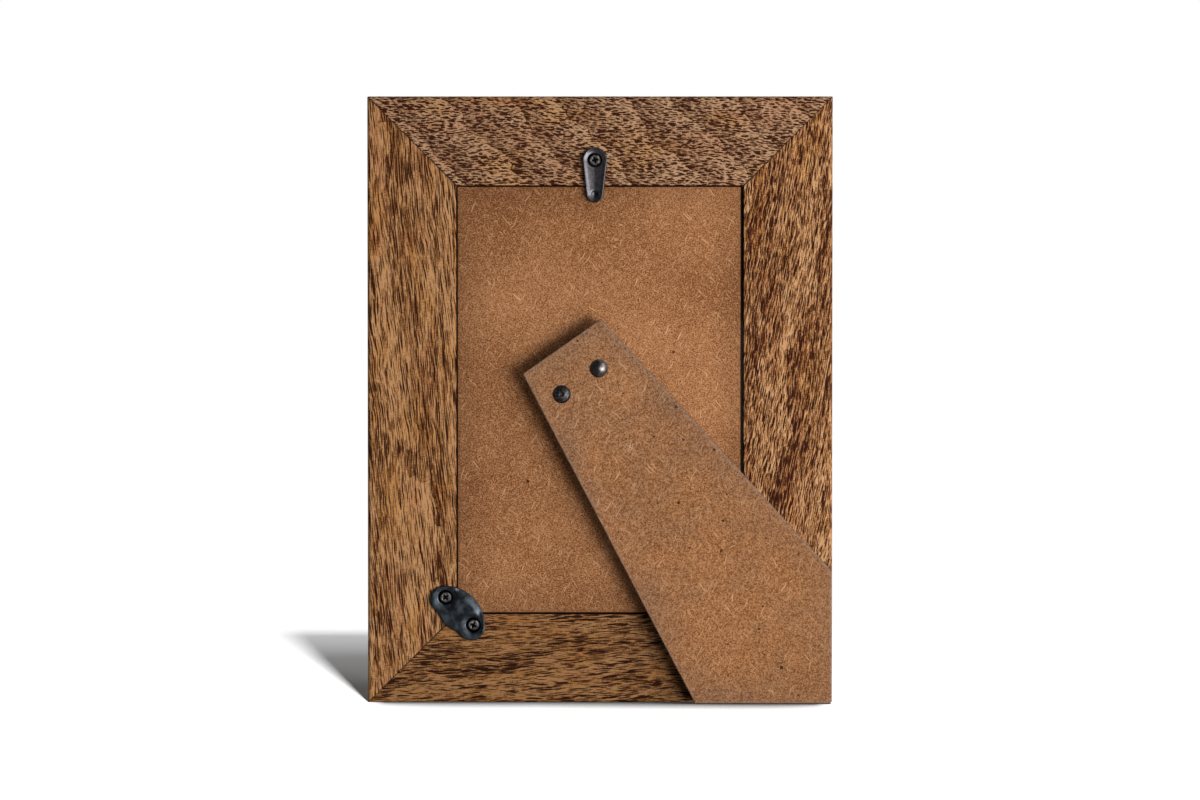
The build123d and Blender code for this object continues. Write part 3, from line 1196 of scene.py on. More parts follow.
@dataclass
class WoodenFrame:
    """Four lengths of rebated moulding, mitred at the corners.

    Attributes:
        rail_width: Width of the back face of a rail.
        sight_bevel: Bevel at the picture side's inner edge.
        back_round: Radius of the outer edge at the back.
        front_round: Radius of the outer edge at the front.
        small_round: Radius of the edges that sandpaper just broke.
        section_step: Largest distance between points of the section.
        even_rows: Rows of points along a rail, evenly spread.
        end_rows: Distances of further rows from the rail's ends.
        joint_gap: Half of the gap at a mitre.
        joint_ease: How far the ends' edges are eased.
        ease_reach: Distance from the ends within which they are.
        sanding: How far hand sanding has hollowed the faces.
        waves: Lengths over 2 pi of the waves that sanding left, along a rail and across it.
        wave_shift: Distance between rails that shifts the waves along them by a radian.
        wave_start: Angle at which the waves across a rail start.
        nook_wall: Distances before the rebate's wall between which the painted shade in the rebate
            begins.
        nook_floor: Distance before the rebate's floor over which it begins.
        nook_mouth: Distances from the rail's back between which it begins.
    """

    rail_width: float = 31.75
    sight_bevel: float = 3.0
    back_round: float = 1.2
    front_round: float = 2.0
    small_round: float = 0.18
    section_step: float = 3.5
    even_rows: int = 61
    end_rows: tuple[float, ...] = (0.0, 0.12, 0.3, 0.7, 1.5, 3.0)
    joint_gap: float = 0.04
    joint_ease: float = 0.12
    ease_reach: float = 0.35
    sanding: float = 0.07
    waves: Pair = (23.0, 13.0)
    wave_shift: float = 17.0
    wave_start: float = 1.3
    nook_wall: Pair = (0.2, 0.02)
    nook_floor: float = 0.3
    nook_mouth: Pair = (0.03, 0.25)

    def profile(self) -> Array:
        """Section of the moulding.

        Returns:
            Closed outline as distance from the outer edge and depth, with points a few millimetres
            apart.
        """
        front, back = node_box("top_rail")[:, 1]
        rebate = node_box("glass_pane")[0, 1]
        reach = np.ptp(node_box("top_rail")[:, 2])
        corners = np.array(
            [
                (0, back),
                (0, front),
                (reach - self.sight_bevel, front),
                (reach, front + self.sight_bevel),
                (reach, rebate),
                (self.rail_width, rebate),
                (self.rail_width, back),
            ]
        )
        radii = np.full(len(corners), self.small_round)
        radii[:2] = self.back_round, self.front_round
        return filled_outline(rounded_outline(corners, radii), self.section_step)

    def rail(self, length: float, start: Array, along: Array, inward: Array) -> Shape:
        """One rail: the section carried along the rail and cut off at 45 degrees.

        At distance u from the outer edge the rail is its length less 2 u long, so point (s, k) lies at
        s * (length / 2 - u) along it, for s from -1 to 1. Next to the ends the section shrinks a
        little, which eases the edges of the joint. Sanding lowers the back by slow waves, each a
        product of a sine along the rail and a sine across it.

        Args:
            length: Length along the outer edge.
            start: Middle of the outer edge.
            along: Direction along the rail.
            inward: Direction from the outer edge to the middle of the frame.

        Returns:
            The rail, marked with the distance from its nearer joint, the places in the rebate that take
            painted shade and the places round its section.
        """
        section = self.profile()
        half = length / 2 - section[:, 0] - self.joint_gap
        ends = np.array(self.end_rows)
        spans = np.linspace(-1, 1, self.even_rows)[1:-1]
        shares = np.concatenate([ends / half.min() - 1, spans, 1 - ends[::-1] / half.min()])
        shares = np.unique(np.round(shares, decimals=9))
        places = shares[:, None] * half[None]
        apart = half[None] - np.abs(places)
        ease = self.joint_ease * (1 - smooth(apart, 0, self.ease_reach))
        away = unit(section - section.mean(0))
        across = section[None, :, 0] - ease * away[None, :, 0]
        depth = section[None, :, 1] - ease * away[None, :, 1]
        long, wide = self.waves
        lengthwise = np.sin(places / long + start.sum() / self.wave_shift)
        wave = lengthwise * np.sin(across / wide + self.wave_start) * 0.5 + 0.5
        depth = depth - self.sanding * wave * smooth(section[None, :, 1], 0, section[:, 1].max())
        points = start + places[..., None] * along + across[..., None] * inward
        points = points + depth[..., None] * np.array([0.0, 1.0, 0.0])
        rows, columns = places.shape
        marks = {
            "joint": apart.ravel(),
            "rebate_shade": np.tile(self.rebate_shade(section), rows),
            "girth": np.tile(self.girth(section, inward), rows),
        }
        return Shape(points.reshape(-1, 3), capped_faces(rows, columns), marks)

    def girth(self, section: Array, inward: Array) -> Array:
        """Place across the back of the rail, carried on round its section.

        It is the running length along the outline, and the count starts afresh in the rebate's
        corner.

        Args:
            section: Outline of the section.
            inward: Direction from the outer edge to the middle of the frame.

        Returns:
            Places to the right of the rail's middle, or above it.
        """
        _, length = running_length(section)
        corner = (self.rail_width, node_box("glass_pane")[0, 1])
        fresh = np.arange(len(section)) > np.argmin(distance_to(section, corner))
        round_trip = length[:-1] - length[-1] * fresh
        return (inward[2] - inward[0]) * (self.back_round - round_trip - self.rail_width / 2)

    def rebate_shade(self, section: Array) -> Array:
        """How far points of the section lie inside the rebate, where the wood is darkened as painted
        shade.

        It is the product of three smooth steps: across to the rebate's wall, up from its floor, and
        down from the rail's back.

        Args:
            section: Outline of the section.

        Returns:
            Numbers from 0, outside, to 1.
        """
        across, depth = section.T
        rebate = node_box("glass_pane")[0, 1]
        first, last = self.nook_wall
        inner = smooth(across, self.rail_width - first, self.rail_width - last)
        over = smooth(depth, rebate - self.nook_floor, rebate)
        return inner * over * smooth(depth.max() - depth, *self.nook_mouth)

    def build(self) -> None:
        """Build and dress the four rails."""
        low, high = np.array(cad_box) / MM
        wide, tall = high[0] - low[0], high[2] - low[2]
        right, up = np.array([1.0, 0, 0]), np.array([0, 0, 1.0])
        sides = {
            "bottom_rail": (wide, np.zeros(3), right, up),
            "top_rail": (wide, tall * up, -right, -up),
            "left_stile": (tall, wide / 2 * right + tall / 2 * up, up, -right),
            "right_stile": (tall, -wide / 2 * right + tall / 2 * up, -up, right),
        }
        for name, wood in self.woods(wide, tall).items():
            shape = self.rail(*sides[name])
            skin = wood.material(f"{name}_wood")
            shape.piece(f"{name}_wood", skin, Body.FRAME, Slot.WOOD, [name])

    def woods(self, wide: float, tall: float) -> dict[str, MangoWood]:
        """Finish of each rail.

        Args:
            wide: Width of the frame.
            tall: Height of the frame.

        Returns:
            Finishes by the name of the rail.
        """
        half = self.rail_width / 2
        return {
            "top_rail": MangoWood(
                grain=Grain.LEVEL,
                middle=(0, tall - half),
                lean=0.03,
                flow=1.8,
                ring_lean=-47,
                ring_spacing=15,
                ring_line=0.85,
                dash=(3.5, 0.86),
                dash_reach=0.31,
                lane=(9, 5),
                lane_pull=0.14,
                hair=(3, 0.42),
                hair_pull=0.35,
                streaks=0.1,
                level=0.905,
                tones=(
                    (54, 21, 5),
                    (86, 46, 21),
                    (116, 76, 47),
                    (140, 102, 72),
                    (158, 120, 88),
                    (187, 147, 112),
                ),
                tints=((255, 247, 224), (250, 240, 236)),
                seed=3.0,
            ),
            "left_stile": MangoWood(
                grain=Grain.UPRIGHT,
                middle=(half - wide / 2, tall / 2),
                lean=-0.08,
                flow=2.2,
                ring_lean=-7,
                ring_spacing=26,
                ring_line=0.25,
                dash=(13, 0.7),
                dash_reach=0.27,
                lane=(30, 2.8),
                lane_pull=0.42,
                hair=(7, 0.42),
                hair_pull=1.05,
                streaks=0.3,
                level=0.875,
                tones=(
                    (53, 19, 0),
                    (85, 42, 9),
                    (118, 71, 31),
                    (146, 98, 56),
                    (164, 116, 72),
                    (193, 144, 98),
                ),
                tints=((255, 248, 224), (248, 238, 234)),
                seed=21.0,
            ),
            "right_stile": MangoWood(
                grain=Grain.UPRIGHT,
                middle=(wide / 2 - half, tall / 2),
                lean=0.19,
                flow=2.0,
                ring_lean=10,
                ring_spacing=25,
                ring_line=0.25,
                dash=(6.5, 0.7),
                dash_reach=0.28,
                lane=(70, 2.6),
                lane_pull=0.33,
                hair=(6, 0.4),
                hair_pull=1.2,
                streaks=0.3,
                level=0.73,
                tones=(
                    (50, 15, 0),
                    (82, 37, 5),
                    (119, 70, 31),
                    (150, 100, 58),
                    (175, 125, 80),
                    (206, 158, 112),
                ),
                tints=((255, 249, 230), (248, 238, 232)),
                seed=53.0,
            ),
            "bottom_rail": MangoWood(
                grain=Grain.LEVEL,
                middle=(0, half),
                lean=0.08,
                flow=2.2,
                ring_lean=8,
                ring_spacing=28,
                ring_line=0.25,
                dash=(8.5, 0.72),
                dash_reach=0.285,
                lane=(26, 2.4),
                lane_pull=0.5,
                hair=(5.5, 0.4),
                hair_pull=0.9,
                streaks=0.3,
                level=0.91,
                tones=(
                    (39, 12, 0),
                    (67, 31, 5),
                    (95, 58, 22),
                    (119, 79, 43),
                    (136, 94, 55),
                    (162, 117, 75),
                ),
                tints=((255, 248, 224), (246, 238, 232)),
                seed=71.0,
            ),
        }


@dataclass
class Backing:
    """Back panel in its rebate, with the glass and the blank print under it.

    Attributes:
        ease: Radius of the panel's eased edges.
        corner: Radius of the panel's corners.
    """

    ease: float = 0.15
    corner: float = 0.4

    def build(self) -> None:
        """Build the panel, and dress the glass and the print."""
        low, high = node_box("back_panel")
        left, right = -high[0], -low[0]
        corners = np.array([(left, low[2]), (right, low[2]), (right, high[2]), (left, high[2])])
        board = FibreBoard(
            tones=((104, 60, 28), (157, 105, 66), (193, 138, 95)),
            # Near black sides: sawn edges, partly painted shade in the gap round the panel.
            side=(40, 20, 8),
            worn=(120, 76, 44),
            wear=0.4,
            drift=0.0012,
            edge_darkening=0.22,
            blotch=0.5,
            dots=0.08,
            dust=0.0,
            dusty=(0.0, 1.0),
            press=(-24.0, 150.0, 0.0),
            seed=5.0,
        )
        shape = board_shape(corners, np.full(4, self.corner), (low[1], high[1]), self.ease)
        skin = board.material("panel_board")
        shape.piece("back_panel_board", skin, Body.FRAME, Slot.PANEL, ["back_panel"])
        border = (node_box("glass_pane")[1, 0], 3.0)
        # The glass's dark border is painted shade for the gap round the panel.
        glass = ClearGlass(tint=(244, 250, 247), painted_shade=(16, 13, 11), border=border)
        dress_node("glass_pane", glass.material("picture_glass"))
        paper = PrintPaper(
            tones=((226, 222, 212), (240, 237, 229)),
            # Dark back of the print: painted shade for the gap round the panel.
            back_shade=(34, 27, 22),
            behind=node_box("photo_insert")[1, 1],
        )
        dress_node("photo_insert", paper.material("blank_print"))


@dataclass
class EaselLeg:
    """Tapered board leg on its hinge, with two domed rivets.

    Attributes:
        top_width: Width of the leg's top end.
        taper: Angle of each long side to the leg's middle line.
        hinge_left: How far the middle of the hinge lies left of that line.
        foot_gap: Distance from the foot to the frame's underside and to its side.
        ease: Radius of the eased edges.
        corner: Radius of the sharp corners.
        foot_corner: Radius of the corner that the two feet share.
        dome_radius: Radius of a rivet's head.
        dome_height: Height of a rivet's head.
        shank_radius: Radius of a rivet's shank.
        tail_radius: Radius of a rivet's tail.
        tail_height: Height of a rivet's tail.
        tail_bevel: Bevel of that tail's edge.
        leaf: Thickness of the hinge leaf.
        rivet_grid: Points from the middle of a rivet's head to its edge, and round a rivet.
        flat_from: Height above which wear flattens a rivet's head.
        flat_share: Share of what stands above that height which wear takes.
        dent: Depth of the dent in a worn head, and height of the lip round it.
        dent_bell: Middle and spread of the dent.
        lip_bell: Middle and spread of the lip.
        dirt_bell: Middle and spread of the dirt in the dent.
        dirt: Strength of that dirt.
        beaten: Height of the hammer marks.
        beats: Number of the marks round the head, their twist and the number of their rings in
            radians for each millimetre outwards, and the angle at which the rings start.
        calm: Distance from the head's middle over which the marks set in.
        left_shade: Strength of the shade painted on the left of a smooth head.
        ragged: Height, radians for each millimetre and start of each sine of that shade's edge.
        shade_ends: Places across the head between which the painted shade ends.
    """

    top_width: float = 34.2
    taper: float = 7.44
    hinge_left: float = 1.8
    foot_gap: float = 0.3
    ease: float = 0.45
    corner: float = 0.5
    foot_corner: float = 1.2
    dome_radius: float = 3.25
    dome_height: float = 1.6
    shank_radius: float = 1.5
    tail_radius: float = 2.3
    tail_height: float = 1.175
    tail_bevel: float = 0.2
    leaf: float = 0.8
    rivet_grid: tuple[int, int] = (34, 72)
    flat_from: float = 0.75
    flat_share: float = 0.42
    dent: Pair = (0.22, 0.07)
    dent_bell: Pair = (0.1, 0.35)
    lip_bell: Pair = (1.1, 0.25)
    dirt_bell: Pair = (0.1, 0.4)
    dirt: float = 0.5
    beaten: float = 0.035
    beats: tuple[float, float, float, float] = (3.0, 1.9, 2.6, 0.7)
    calm: float = 0.6
    left_shade: float = 0.66
    ragged: tuple[Triple, ...] = ((0.3, 2.2, 0.6), (0.12, 7.1, 0.0))
    shade_ends: Pair = (-0.3, 0.5)

    def corners(self) -> Array:
        """Corners of the leg, anticlockwise as the back is seen.

        The top end is square to the leg's middle line. Each long side falls from it at the taper until
        it meets the frame's underside or its side.

        Returns:
            Places to the right and up.
        """
        hinge = frame["joints"][0]
        pin = np.array(hinge["pos_m"]) / MM
        axis = np.array(hinge["axis"])
        level = np.array([axis[0], -axis[2]])
        upright = np.array([-level[1], level[0]])
        tip = node_box("easel_leg")[1, 2]
        side = -cad_box[0][0] / MM - self.foot_gap
        middle = np.array([-pin[0], pin[2]]) + self.hinge_left * level
        half = self.top_width / 2
        over = (tip - middle[1] - half * level[1]) / upright[1]
        left = middle + over * upright - half * level
        right = middle + over * upright + half * level
        spread = np.tan(np.radians(self.taper))
        left_fall = -upright - spread * level
        right_fall = -upright + spread * level
        heel = left + left_fall * (self.foot_gap - left[1]) / left_fall[1]
        hip = right + right_fall * (side - right[0]) / right_fall[0]
        toe = np.array([side, self.foot_gap])
        return np.array([left, heel, toe, hip, right])

    def rivet(self, worn: float) -> Shape:
        """Rivet with a domed head.

        The head is a cap of a sphere: at radius r its height is the sphere's height there. Wear
        flattens the cap and leaves a small dent and dull hammer marks round it. A smooth head is
        darkened on its left as painted shade, up to a ragged line that is a sum of two sines of the
        height.

        Args:
            worn: Wear from 0, a smooth dome, to 1, a beaten one.

        Returns:
            The rivet, with the back of the leg at height zero.
        """
        ball = (self.dome_radius**2 + self.dome_height**2) / (2 * self.dome_height)
        rings, sectors = self.rivet_grid
        dome = np.linspace(0, self.dome_radius, rings)
        cap = np.sqrt(ball**2 - dome**2) - (ball - self.dome_height)
        grip = np.ptp(node_box("easel_leg")[:, 1]) + self.leaf
        stem = [
            (self.shank_radius, 0),
            (self.shank_radius, -grip),
            (self.tail_radius, -grip),
            (self.tail_radius, -grip - self.tail_height + self.tail_bevel),
            (self.tail_radius - self.tail_bevel, -grip - self.tail_height),
            (0, -grip - self.tail_height),
        ]
        profile = np.vstack([np.column_stack([dome, cap]), stem])

        def lift(flat: Array, tall: Array) -> tuple[Array, Array]:
            """Wear of the head: flattening, a dent with a lip, and waves for the hammer marks.

            Args:
                flat: Places in the plane.
                tall: Heights of the rows.

            Returns:
                Changes of height, and the dirt in a worn dent and the painted shade on a smooth head's
                left.
            """
            across, up = flat.T
            away = np.linalg.norm(flat, axis=1)
            angle = np.arctan2(up, across)
            deep, lip = self.dent
            flattened = -self.flat_share * np.maximum(tall - self.flat_from, 0)
            hollow = -deep * bell(away, *self.dent_bell)
            raised = lip * bell(away, *self.lip_bell)
            turns, twist, waves, start = self.beats
            marks = self.beaten * np.sin(turns * angle + twist * away) * np.sin(waves * away + start)
            shaped = flattened + (hollow + raised) + marks * smooth(away, 0, self.calm)
            dirt = self.dirt * worn * bell(away, *self.dirt_bell)
            # A smooth head's left side is darkened as painted shade, up to a ragged line.
            ragged = across
            for size, number, first in self.ragged:
                ragged = ragged + size * np.sin(number * up + first)
            shaded = self.left_shade * (1 - worn) * (1 - smooth(ragged, *self.shade_ends))
            return worn * np.where(tall > 0, shaped, 0), (dirt + shaded) * (tall > 0)

        return turned_shape(profile, sectors, lift)

    def build(self) -> None:
        """Build the leg and its rivets, and dress the hinge."""
        low, high = node_box("easel_leg")
        radii = np.array([self.corner, self.corner, self.foot_corner, self.corner, self.corner])
        board = FibreBoard(
            tones=((113, 67, 33), (163, 111, 70), (196, 139, 93)),
            side=(118, 96, 82),
            # Greyish rim: rubbing, and partly light painted on the leg's eased edges.
            worn=(150, 120, 98),
            wear=0.85,
            drift=-0.0019,
            edge_darkening=0.17,
            blotch=0.2,
            dots=0.9,
            dust=0.66,
            dusty=(60.0, 104.0),
            press=(13.9, 117.1, 3.2),
            seed=33.0,
        )
        shape = board_shape(self.corners(), radii, (low[1], high[1]), self.ease)
        shape.piece("easel_leg_board", board.material("leg_board"), Body.LEG, Slot.LEG, ["easel_leg"])
        steels = {
            "leg_rivet_left": (
                1.0,
                BlackSteel(dark=(46, 43, 43), light=(92, 88, 88), gloss=0.48, grain=0.06, seed=4.0),
            ),
            "leg_rivet_right": (
                0.0,
                BlackSteel(dark=(104, 100, 98), light=(128, 123, 121), gloss=0.36, grain=0.02, seed=9.0),
            ),
        }
        for name, (worn, steel) in steels.items():
            middle = node_middle(name)
            shape = seated(self.rivet(worn), -middle[0], middle[2], high[1])
            skin = steel.material(f"{name}_steel")
            shape.piece(f"{name}_head", skin, Body.LEG, Slot.RIVET, [name])
        bare = BareSteel(dark=(118, 114, 108), light=(178, 176, 172), gloss=0.4)
        skin = bare.material("bare_steel")
        hinge = ["hinge_leaf_panel", "hinge_leaf_leg", "hinge_pin"]
        rivets = ["panel_rivet_left", "panel_rivet_right"]
        brads = [name for name in frame["nodes"] if name.startswith("brad_")]
        for name in hinge + rivets + brads:
            dress_node(name, skin)


@dataclass
class Fastenings:
    """Turn button and corner plates that keep the panel in, with their screws.

    Attributes:
        head_radius: Radius of the button's round head.
        tip_radius: Radius of its tip.
        reach: Distance from its screw to the middle of the tip.
        edge_round: Radius of the plates' upper edges.
        sink_radius: Radius of a countersink at the plate's face.
        sink_floor: Least thickness that a countersink leaves.
        sink_edge: Depth over which a countersink's painted shade sets in.
        trough: Depth of the button's hollow.
        trough_power: Power of the share of the half width by which the hollow rises.
        trough_edge: Distance from the button's edge over which the hollow sets in.
        least_half: Least half width by which that share is counted.
        dimple_radius: Radius of the dimple in the button's tip.
        dimple_depth: Depth of that dimple.
        dimple_flat: Share of its radius that its flat bottom takes.
        button_grid: Points along the button and across it.
        screw_reach: Distance from the middle of a corner plate to each screw.
        lobe_radius: Radius of the plate's lobes.
        lobe_drop: How far the lobes' middles lie from the line of the screws.
        lobe_end: Angle on a lobe, in degrees, at which the halves of the outline meet.
        cusp_reach: Distance from the middle of a plate to its cusp.
        plate_grid: Points round half a lobe, along an arc and across a plate.
        dish: Depth to which a corner plate is drawn down round its screws.
        dish_radii: Distances from a screw between which that depth runs out.
        dish_edge: Distance from the plate's edge over which that depth sets in.
        roll: How far its large arc is rolled over.
        roll_width: Width of the rolled strip.
        roll_ends: Distances from the plate's middle between which the strip runs out.
        button_sink: How far the button's countersink starts below its full thickness.
        plate_sink: The same for a corner plate.
        painted_shade: Place of the painted shadow in the dimple, to the right of its middle and above
            it.
        painted_shade_radii: Distances from that place between which the shadow runs out.
        painted_shade_dark: Darkness of that shadow.
        edge_strip: Distances from the button's edge between which the painted shade along it runs out.
        edge_dark: Darkness of the painted shade along the edge.
        screw_radius: Radius of a screw's head.
        face_radius: Radius of the flat face on that head.
        face_drop: How far the head falls away round the face.
        face_ease: Width and depth of the face's eased edge.
        rim: Height of the head's straight edge.
        neck: Height of that edge and of the cone under it.
        shank_radius: Radius of a screw's shank.
        point: Length of a screw's point.
        screw_sink: How far a screw's head lies below the plate's face.
        screw_grid: Points from the middle of a screw's face to its edge, and round a screw.
        recess: Length, width and depth of the cross in a screw's head.
        bar_walls: Shares of that width between which the walls of the cross rise.
        bar_ends: Shares of that length between which its ends rise.
        face_depth: Depth below the face within which rows of points take the cross.
        cross_dark: Shares of the cross's depth between which it is darkened as painted shade.
        rim_dark: Depths below the face between which the head is darkened as painted shade.
    """

    head_radius: float = 4.5
    tip_radius: float = 3.1
    reach: float = 12.1
    edge_round: float = 0.45
    sink_radius: float = 2.75
    sink_floor: float = 0.05
    sink_edge: float = 0.12
    trough: float = 0.55
    trough_power: float = 1.5
    trough_edge: float = 1.6
    least_half: float = 0.01
    dimple_radius: float = 1.65
    dimple_depth: float = 0.5
    dimple_flat: float = 0.25
    button_grid: tuple[int, int] = (150, 70)
    screw_reach: float = 7.05
    lobe_radius: float = 4.8
    lobe_drop: float = 1.0
    lobe_end: float = -20.0
    cusp_reach: float = 7.3
    plate_grid: tuple[int, int, int] = (50, 60, 56)
    dish: float = 0.36
    dish_radii: Pair = (2.0, 4.9)
    dish_edge: float = 1.2
    roll: float = 0.55
    roll_width: float = 2.8
    roll_ends: Pair = (5.0, 8.5)
    button_sink: float = 0.3
    plate_sink: float = 0.35
    painted_shade: Pair = (0.6, 0.1)
    painted_shade_radii: Pair = (0.5, 1.3)
    painted_shade_dark: float = 0.75
    edge_strip: Pair = (0.1, 0.5)
    edge_dark: float = 0.6
    screw_radius: float = 2.2
    face_radius: float = 1.5
    face_drop: float = 0.55
    face_ease: Pair = (0.06, 0.05)
    rim: float = 0.1
    neck: float = 1.0
    shank_radius: float = 1.25
    point: float = 2.5
    screw_sink: float = 0.15
    screw_grid: tuple[int, int] = (34, 96)
    recess: Triple = (2.8, 0.75, 0.9)
    bar_walls: Pair = (0.32, 0.55)
    bar_ends: Pair = (0.2, 0.5)
    face_depth: float = 0.02
    cross_dark: Pair = (0.15, 0.6)
    rim_dark: Pair = (0.04, 0.3)

    def edge_height(self, inside: Array, thickness: float) -> Array:
        """Height of a plate near its edge: a quarter circle up to the full thickness."""
        short = self.edge_round - np.clip(inside, 0, self.edge_round)
        return thickness - self.edge_round + np.sqrt(self.edge_round**2 - short**2)

    def sunk(self, height: Array, flat: Array, middle: Pair, level: float) -> tuple[Array, Array]:
        """Countersink: the lower of a height and of a cone of 90 degrees.

        Args:
            height: Height of the plate's face.
            flat: Places in the plane.
            middle: Middle of the countersink.
            level: Height at which the cone has the countersink's radius.

        Returns:
            The new height, and how far the points lie in the countersink, which takes painted shade.
        """
        away = distance_to(flat, middle)
        cone = np.maximum(level - (self.sink_radius - away), self.sink_floor)
        return np.minimum(height, cone), smooth(height - cone, 0, self.sink_edge)

    def button(self, thickness: float) -> Shape:
        """Turn button: a teardrop round two circles, hollowed along its length.

        Half its width at a height is that of the head's circle, of the tip's circle or of the straight
        line that touches both. The hollow falls as 1 less a power of the share of the half width.

        Args:
            thickness: Thickness of the sheet.

        Returns:
            The button in its own plane, with its screw at zero and its tip downwards.
        """
        lean = (self.head_radius - self.tip_radius) / self.reach
        slant = np.sqrt(1 - lean**2)

        def half_width(up: Array) -> Array:
            """Half the width of the teardrop.

            Args:
                up: Heights above the screw.

            Returns:
                Half the width at each height.
            """
            head = np.sqrt(np.maximum(self.head_radius**2 - up**2, 0))
            tip = np.sqrt(np.maximum(self.tip_radius**2 - (up + self.reach) ** 2, 0))
            line = (self.head_radius + lean * up) / slant
            straight = np.where(up < -self.reach - lean * self.tip_radius, tip, line)
            return np.where(up > -lean * self.head_radius, head, straight)

        def inside(flat: Array) -> Array:
            """Distance to the edge of the teardrop: to the nearer circle or to the line between them.

            Args:
                flat: Places in the plane.

            Returns:
                Distances, which are positive inside.
            """
            side, down = np.abs(flat[:, 0]), -flat[:, 1]
            along = slant * down - lean * side
            head = self.head_radius - np.hypot(side, down)
            tip = self.tip_radius - np.hypot(side, down - self.reach)
            line = self.head_radius - slant * side - lean * down
            return np.where(along < 0, head, np.where(along > slant * self.reach, tip, line))

        def height(flat: Array) -> tuple[Array, Array]:
            """Height of the button's face: its rounded edge less the hollow, the dimple and the sink.

            Args:
                flat: Places in the plane.

            Returns:
                Heights, and how dark the painted shade is in the sink, on the dimple's right and along
                the edge.
            """
            deep = inside(flat)
            share = np.abs(flat[:, 0]) / np.maximum(half_width(flat[:, 1]), self.least_half)
            fallen = np.clip(1 - share**self.trough_power, 0, 1)
            hollow = self.trough * fallen * smooth(deep, 0, self.trough_edge)
            tall = self.edge_height(deep, thickness) - hollow
            away = distance_to(flat, (0, -self.reach))
            filled = smooth(away, self.dimple_flat * self.dimple_radius, self.dimple_radius)
            dimple = self.dimple_depth * (1 - filled)
            # Painted shadow on the right of the dimple.
            shade_away = distance_to(flat, (self.painted_shade[0], self.painted_shade[1] - self.reach))
            tall, shade_and_dirt = self.sunk(tall - dimple, flat, (0, 0), thickness - self.button_sink)
            shade_and_dirt = np.maximum(shade_and_dirt, self.painted_shade_dark * (1 - smooth(shade_away, *self.painted_shade_radii)))
            # Painted shade along the edge.
            return tall, np.maximum(shade_and_dirt, self.edge_dark * (1 - smooth(deep, *self.edge_strip)))

        rows, columns = self.button_grid
        length = self.head_radius + self.reach + self.tip_radius
        up = self.head_radius - eased_ends(rows) * length
        wide = half_width(up)
        wide[[0, -1]] = 0
        low, high = np.column_stack([-wide, up]), np.column_stack([wide, up])
        return plate_shape(low, high, height, eased_ends(columns))

    def corner_plate(self, thickness: float) -> Shape:
        """Kidney-shaped plate: two lobes inside one large arc, with a cusp between them.

        The far half of the outline runs round the outer side of one lobe, along the large arc, and
        round the other lobe. The near half runs from each lobe's foot along an arc that ends in the
        cusp. The face is drawn down round both screws by a smooth step of the distance.

        Args:
            thickness: Thickness of the sheet.

        Returns:
            The plate in its own plane, with the cusp downwards.
        """
        lobe = np.array([self.screw_reach, -self.lobe_drop])
        cusp = np.array([0.0, -self.cusp_reach])
        spread = np.arctan2(lobe[1] - cusp[1], lobe[0])
        large = np.hypot(*(lobe - cusp)) + self.lobe_radius
        foot = lobe - [0, self.lobe_radius]
        rise = foot[1] - cusp[1]
        hollow = (foot[0] ** 2 + rise**2) / (2 * rise)

        def arc(middle: Array, radius: float, start: float, end: float, count: int) -> Array:
            """Points on an arc."""
            angle = np.linspace(start, end, count)
            return middle + radius * np.column_stack([np.cos(angle), np.sin(angle)])

        tip = np.radians(self.lobe_end)
        swing = np.arctan2(foot[0], hollow - rise)
        short, long, columns = self.plate_grid
        far = np.vstack(
            [
                arc(lobe, self.lobe_radius, tip, spread, short)[:-1],
                arc(cusp, large, spread, np.pi / 2, long),
            ]
        )
        near = np.vstack(
            [
                arc(lobe, self.lobe_radius, tip, -np.pi / 2, short)[:-1],
                arc(foot - [0, hollow], hollow, np.pi / 2, np.pi / 2 + swing, long),
            ]
        )
        near[-1] = cusp
        mirror = np.array([-1.0, 1.0])
        far = np.vstack([far, far[-2::-1] * mirror])
        near = np.vstack([near, near[-2::-1] * mirror])
        outline = np.vstack([far, near])

        def height(flat: Array) -> tuple[Array, Array]:
            """Height of the plate's face: its rounded edge less the roll, the dishes and the sinks.

            Args:
                flat: Places in the plane.

            Returns:
                Heights, and how far the places lie in a sink, which is darkened as painted shade.
            """
            deep = np.min(np.linalg.norm(flat[:, None] - outline[None], axis=2), axis=1)
            arched = large - distance_to(flat, cusp)
            rolled = 1 - smooth(arched, 0, self.roll_width)
            rolled = rolled * (1 - smooth(np.abs(flat[:, 0]), *self.roll_ends))
            tall = self.edge_height(deep, thickness) - self.roll * rolled
            screws = [(sign * self.screw_reach, 0.0) for sign in (-1, 1)]
            for screw in screws:
                drawn = 1 - smooth(distance_to(flat, screw), *self.dish_radii)
                tall = tall - self.dish * drawn * smooth(deep, 0, self.dish_edge)
            shade_and_dirt = np.zeros(len(flat))
            for screw in screws:
                # Countersinks are darkened as painted shade.
                tall, hole = self.sunk(tall, flat, screw, thickness - self.plate_sink)
                shade_and_dirt = np.maximum(shade_and_dirt, hole)
            return tall, shade_and_dirt

        return plate_shape(near, far, height, eased_ends(columns))

    def screw(self, length: float) -> Shape:
        """Countersunk screw with a cross recess.

        Each bar of the cross is a trough whose walls are smooth steps of the distance from its middle
        line, deepest at the middle of the head and shallow at its ends. The deeper of the two bars
        counts.

        Args:
            length: Length of the screw.

        Returns:
            The screw with its face at height zero.
        """
        rings, sectors = self.screw_grid
        face = np.linspace(0, self.face_radius, rings)
        rest = [
            (self.face_radius + self.face_ease[0], -self.face_ease[1]),
            (self.screw_radius, -self.face_drop),
            (self.screw_radius, -self.face_drop - self.rim),
            (self.shank_radius, -self.face_drop - self.neck),
            (self.shank_radius, self.point - length),
            (0, -length),
        ]
        profile = np.vstack([np.column_stack([face, np.zeros(len(face))]), rest])
        long, wide, deep = self.recess

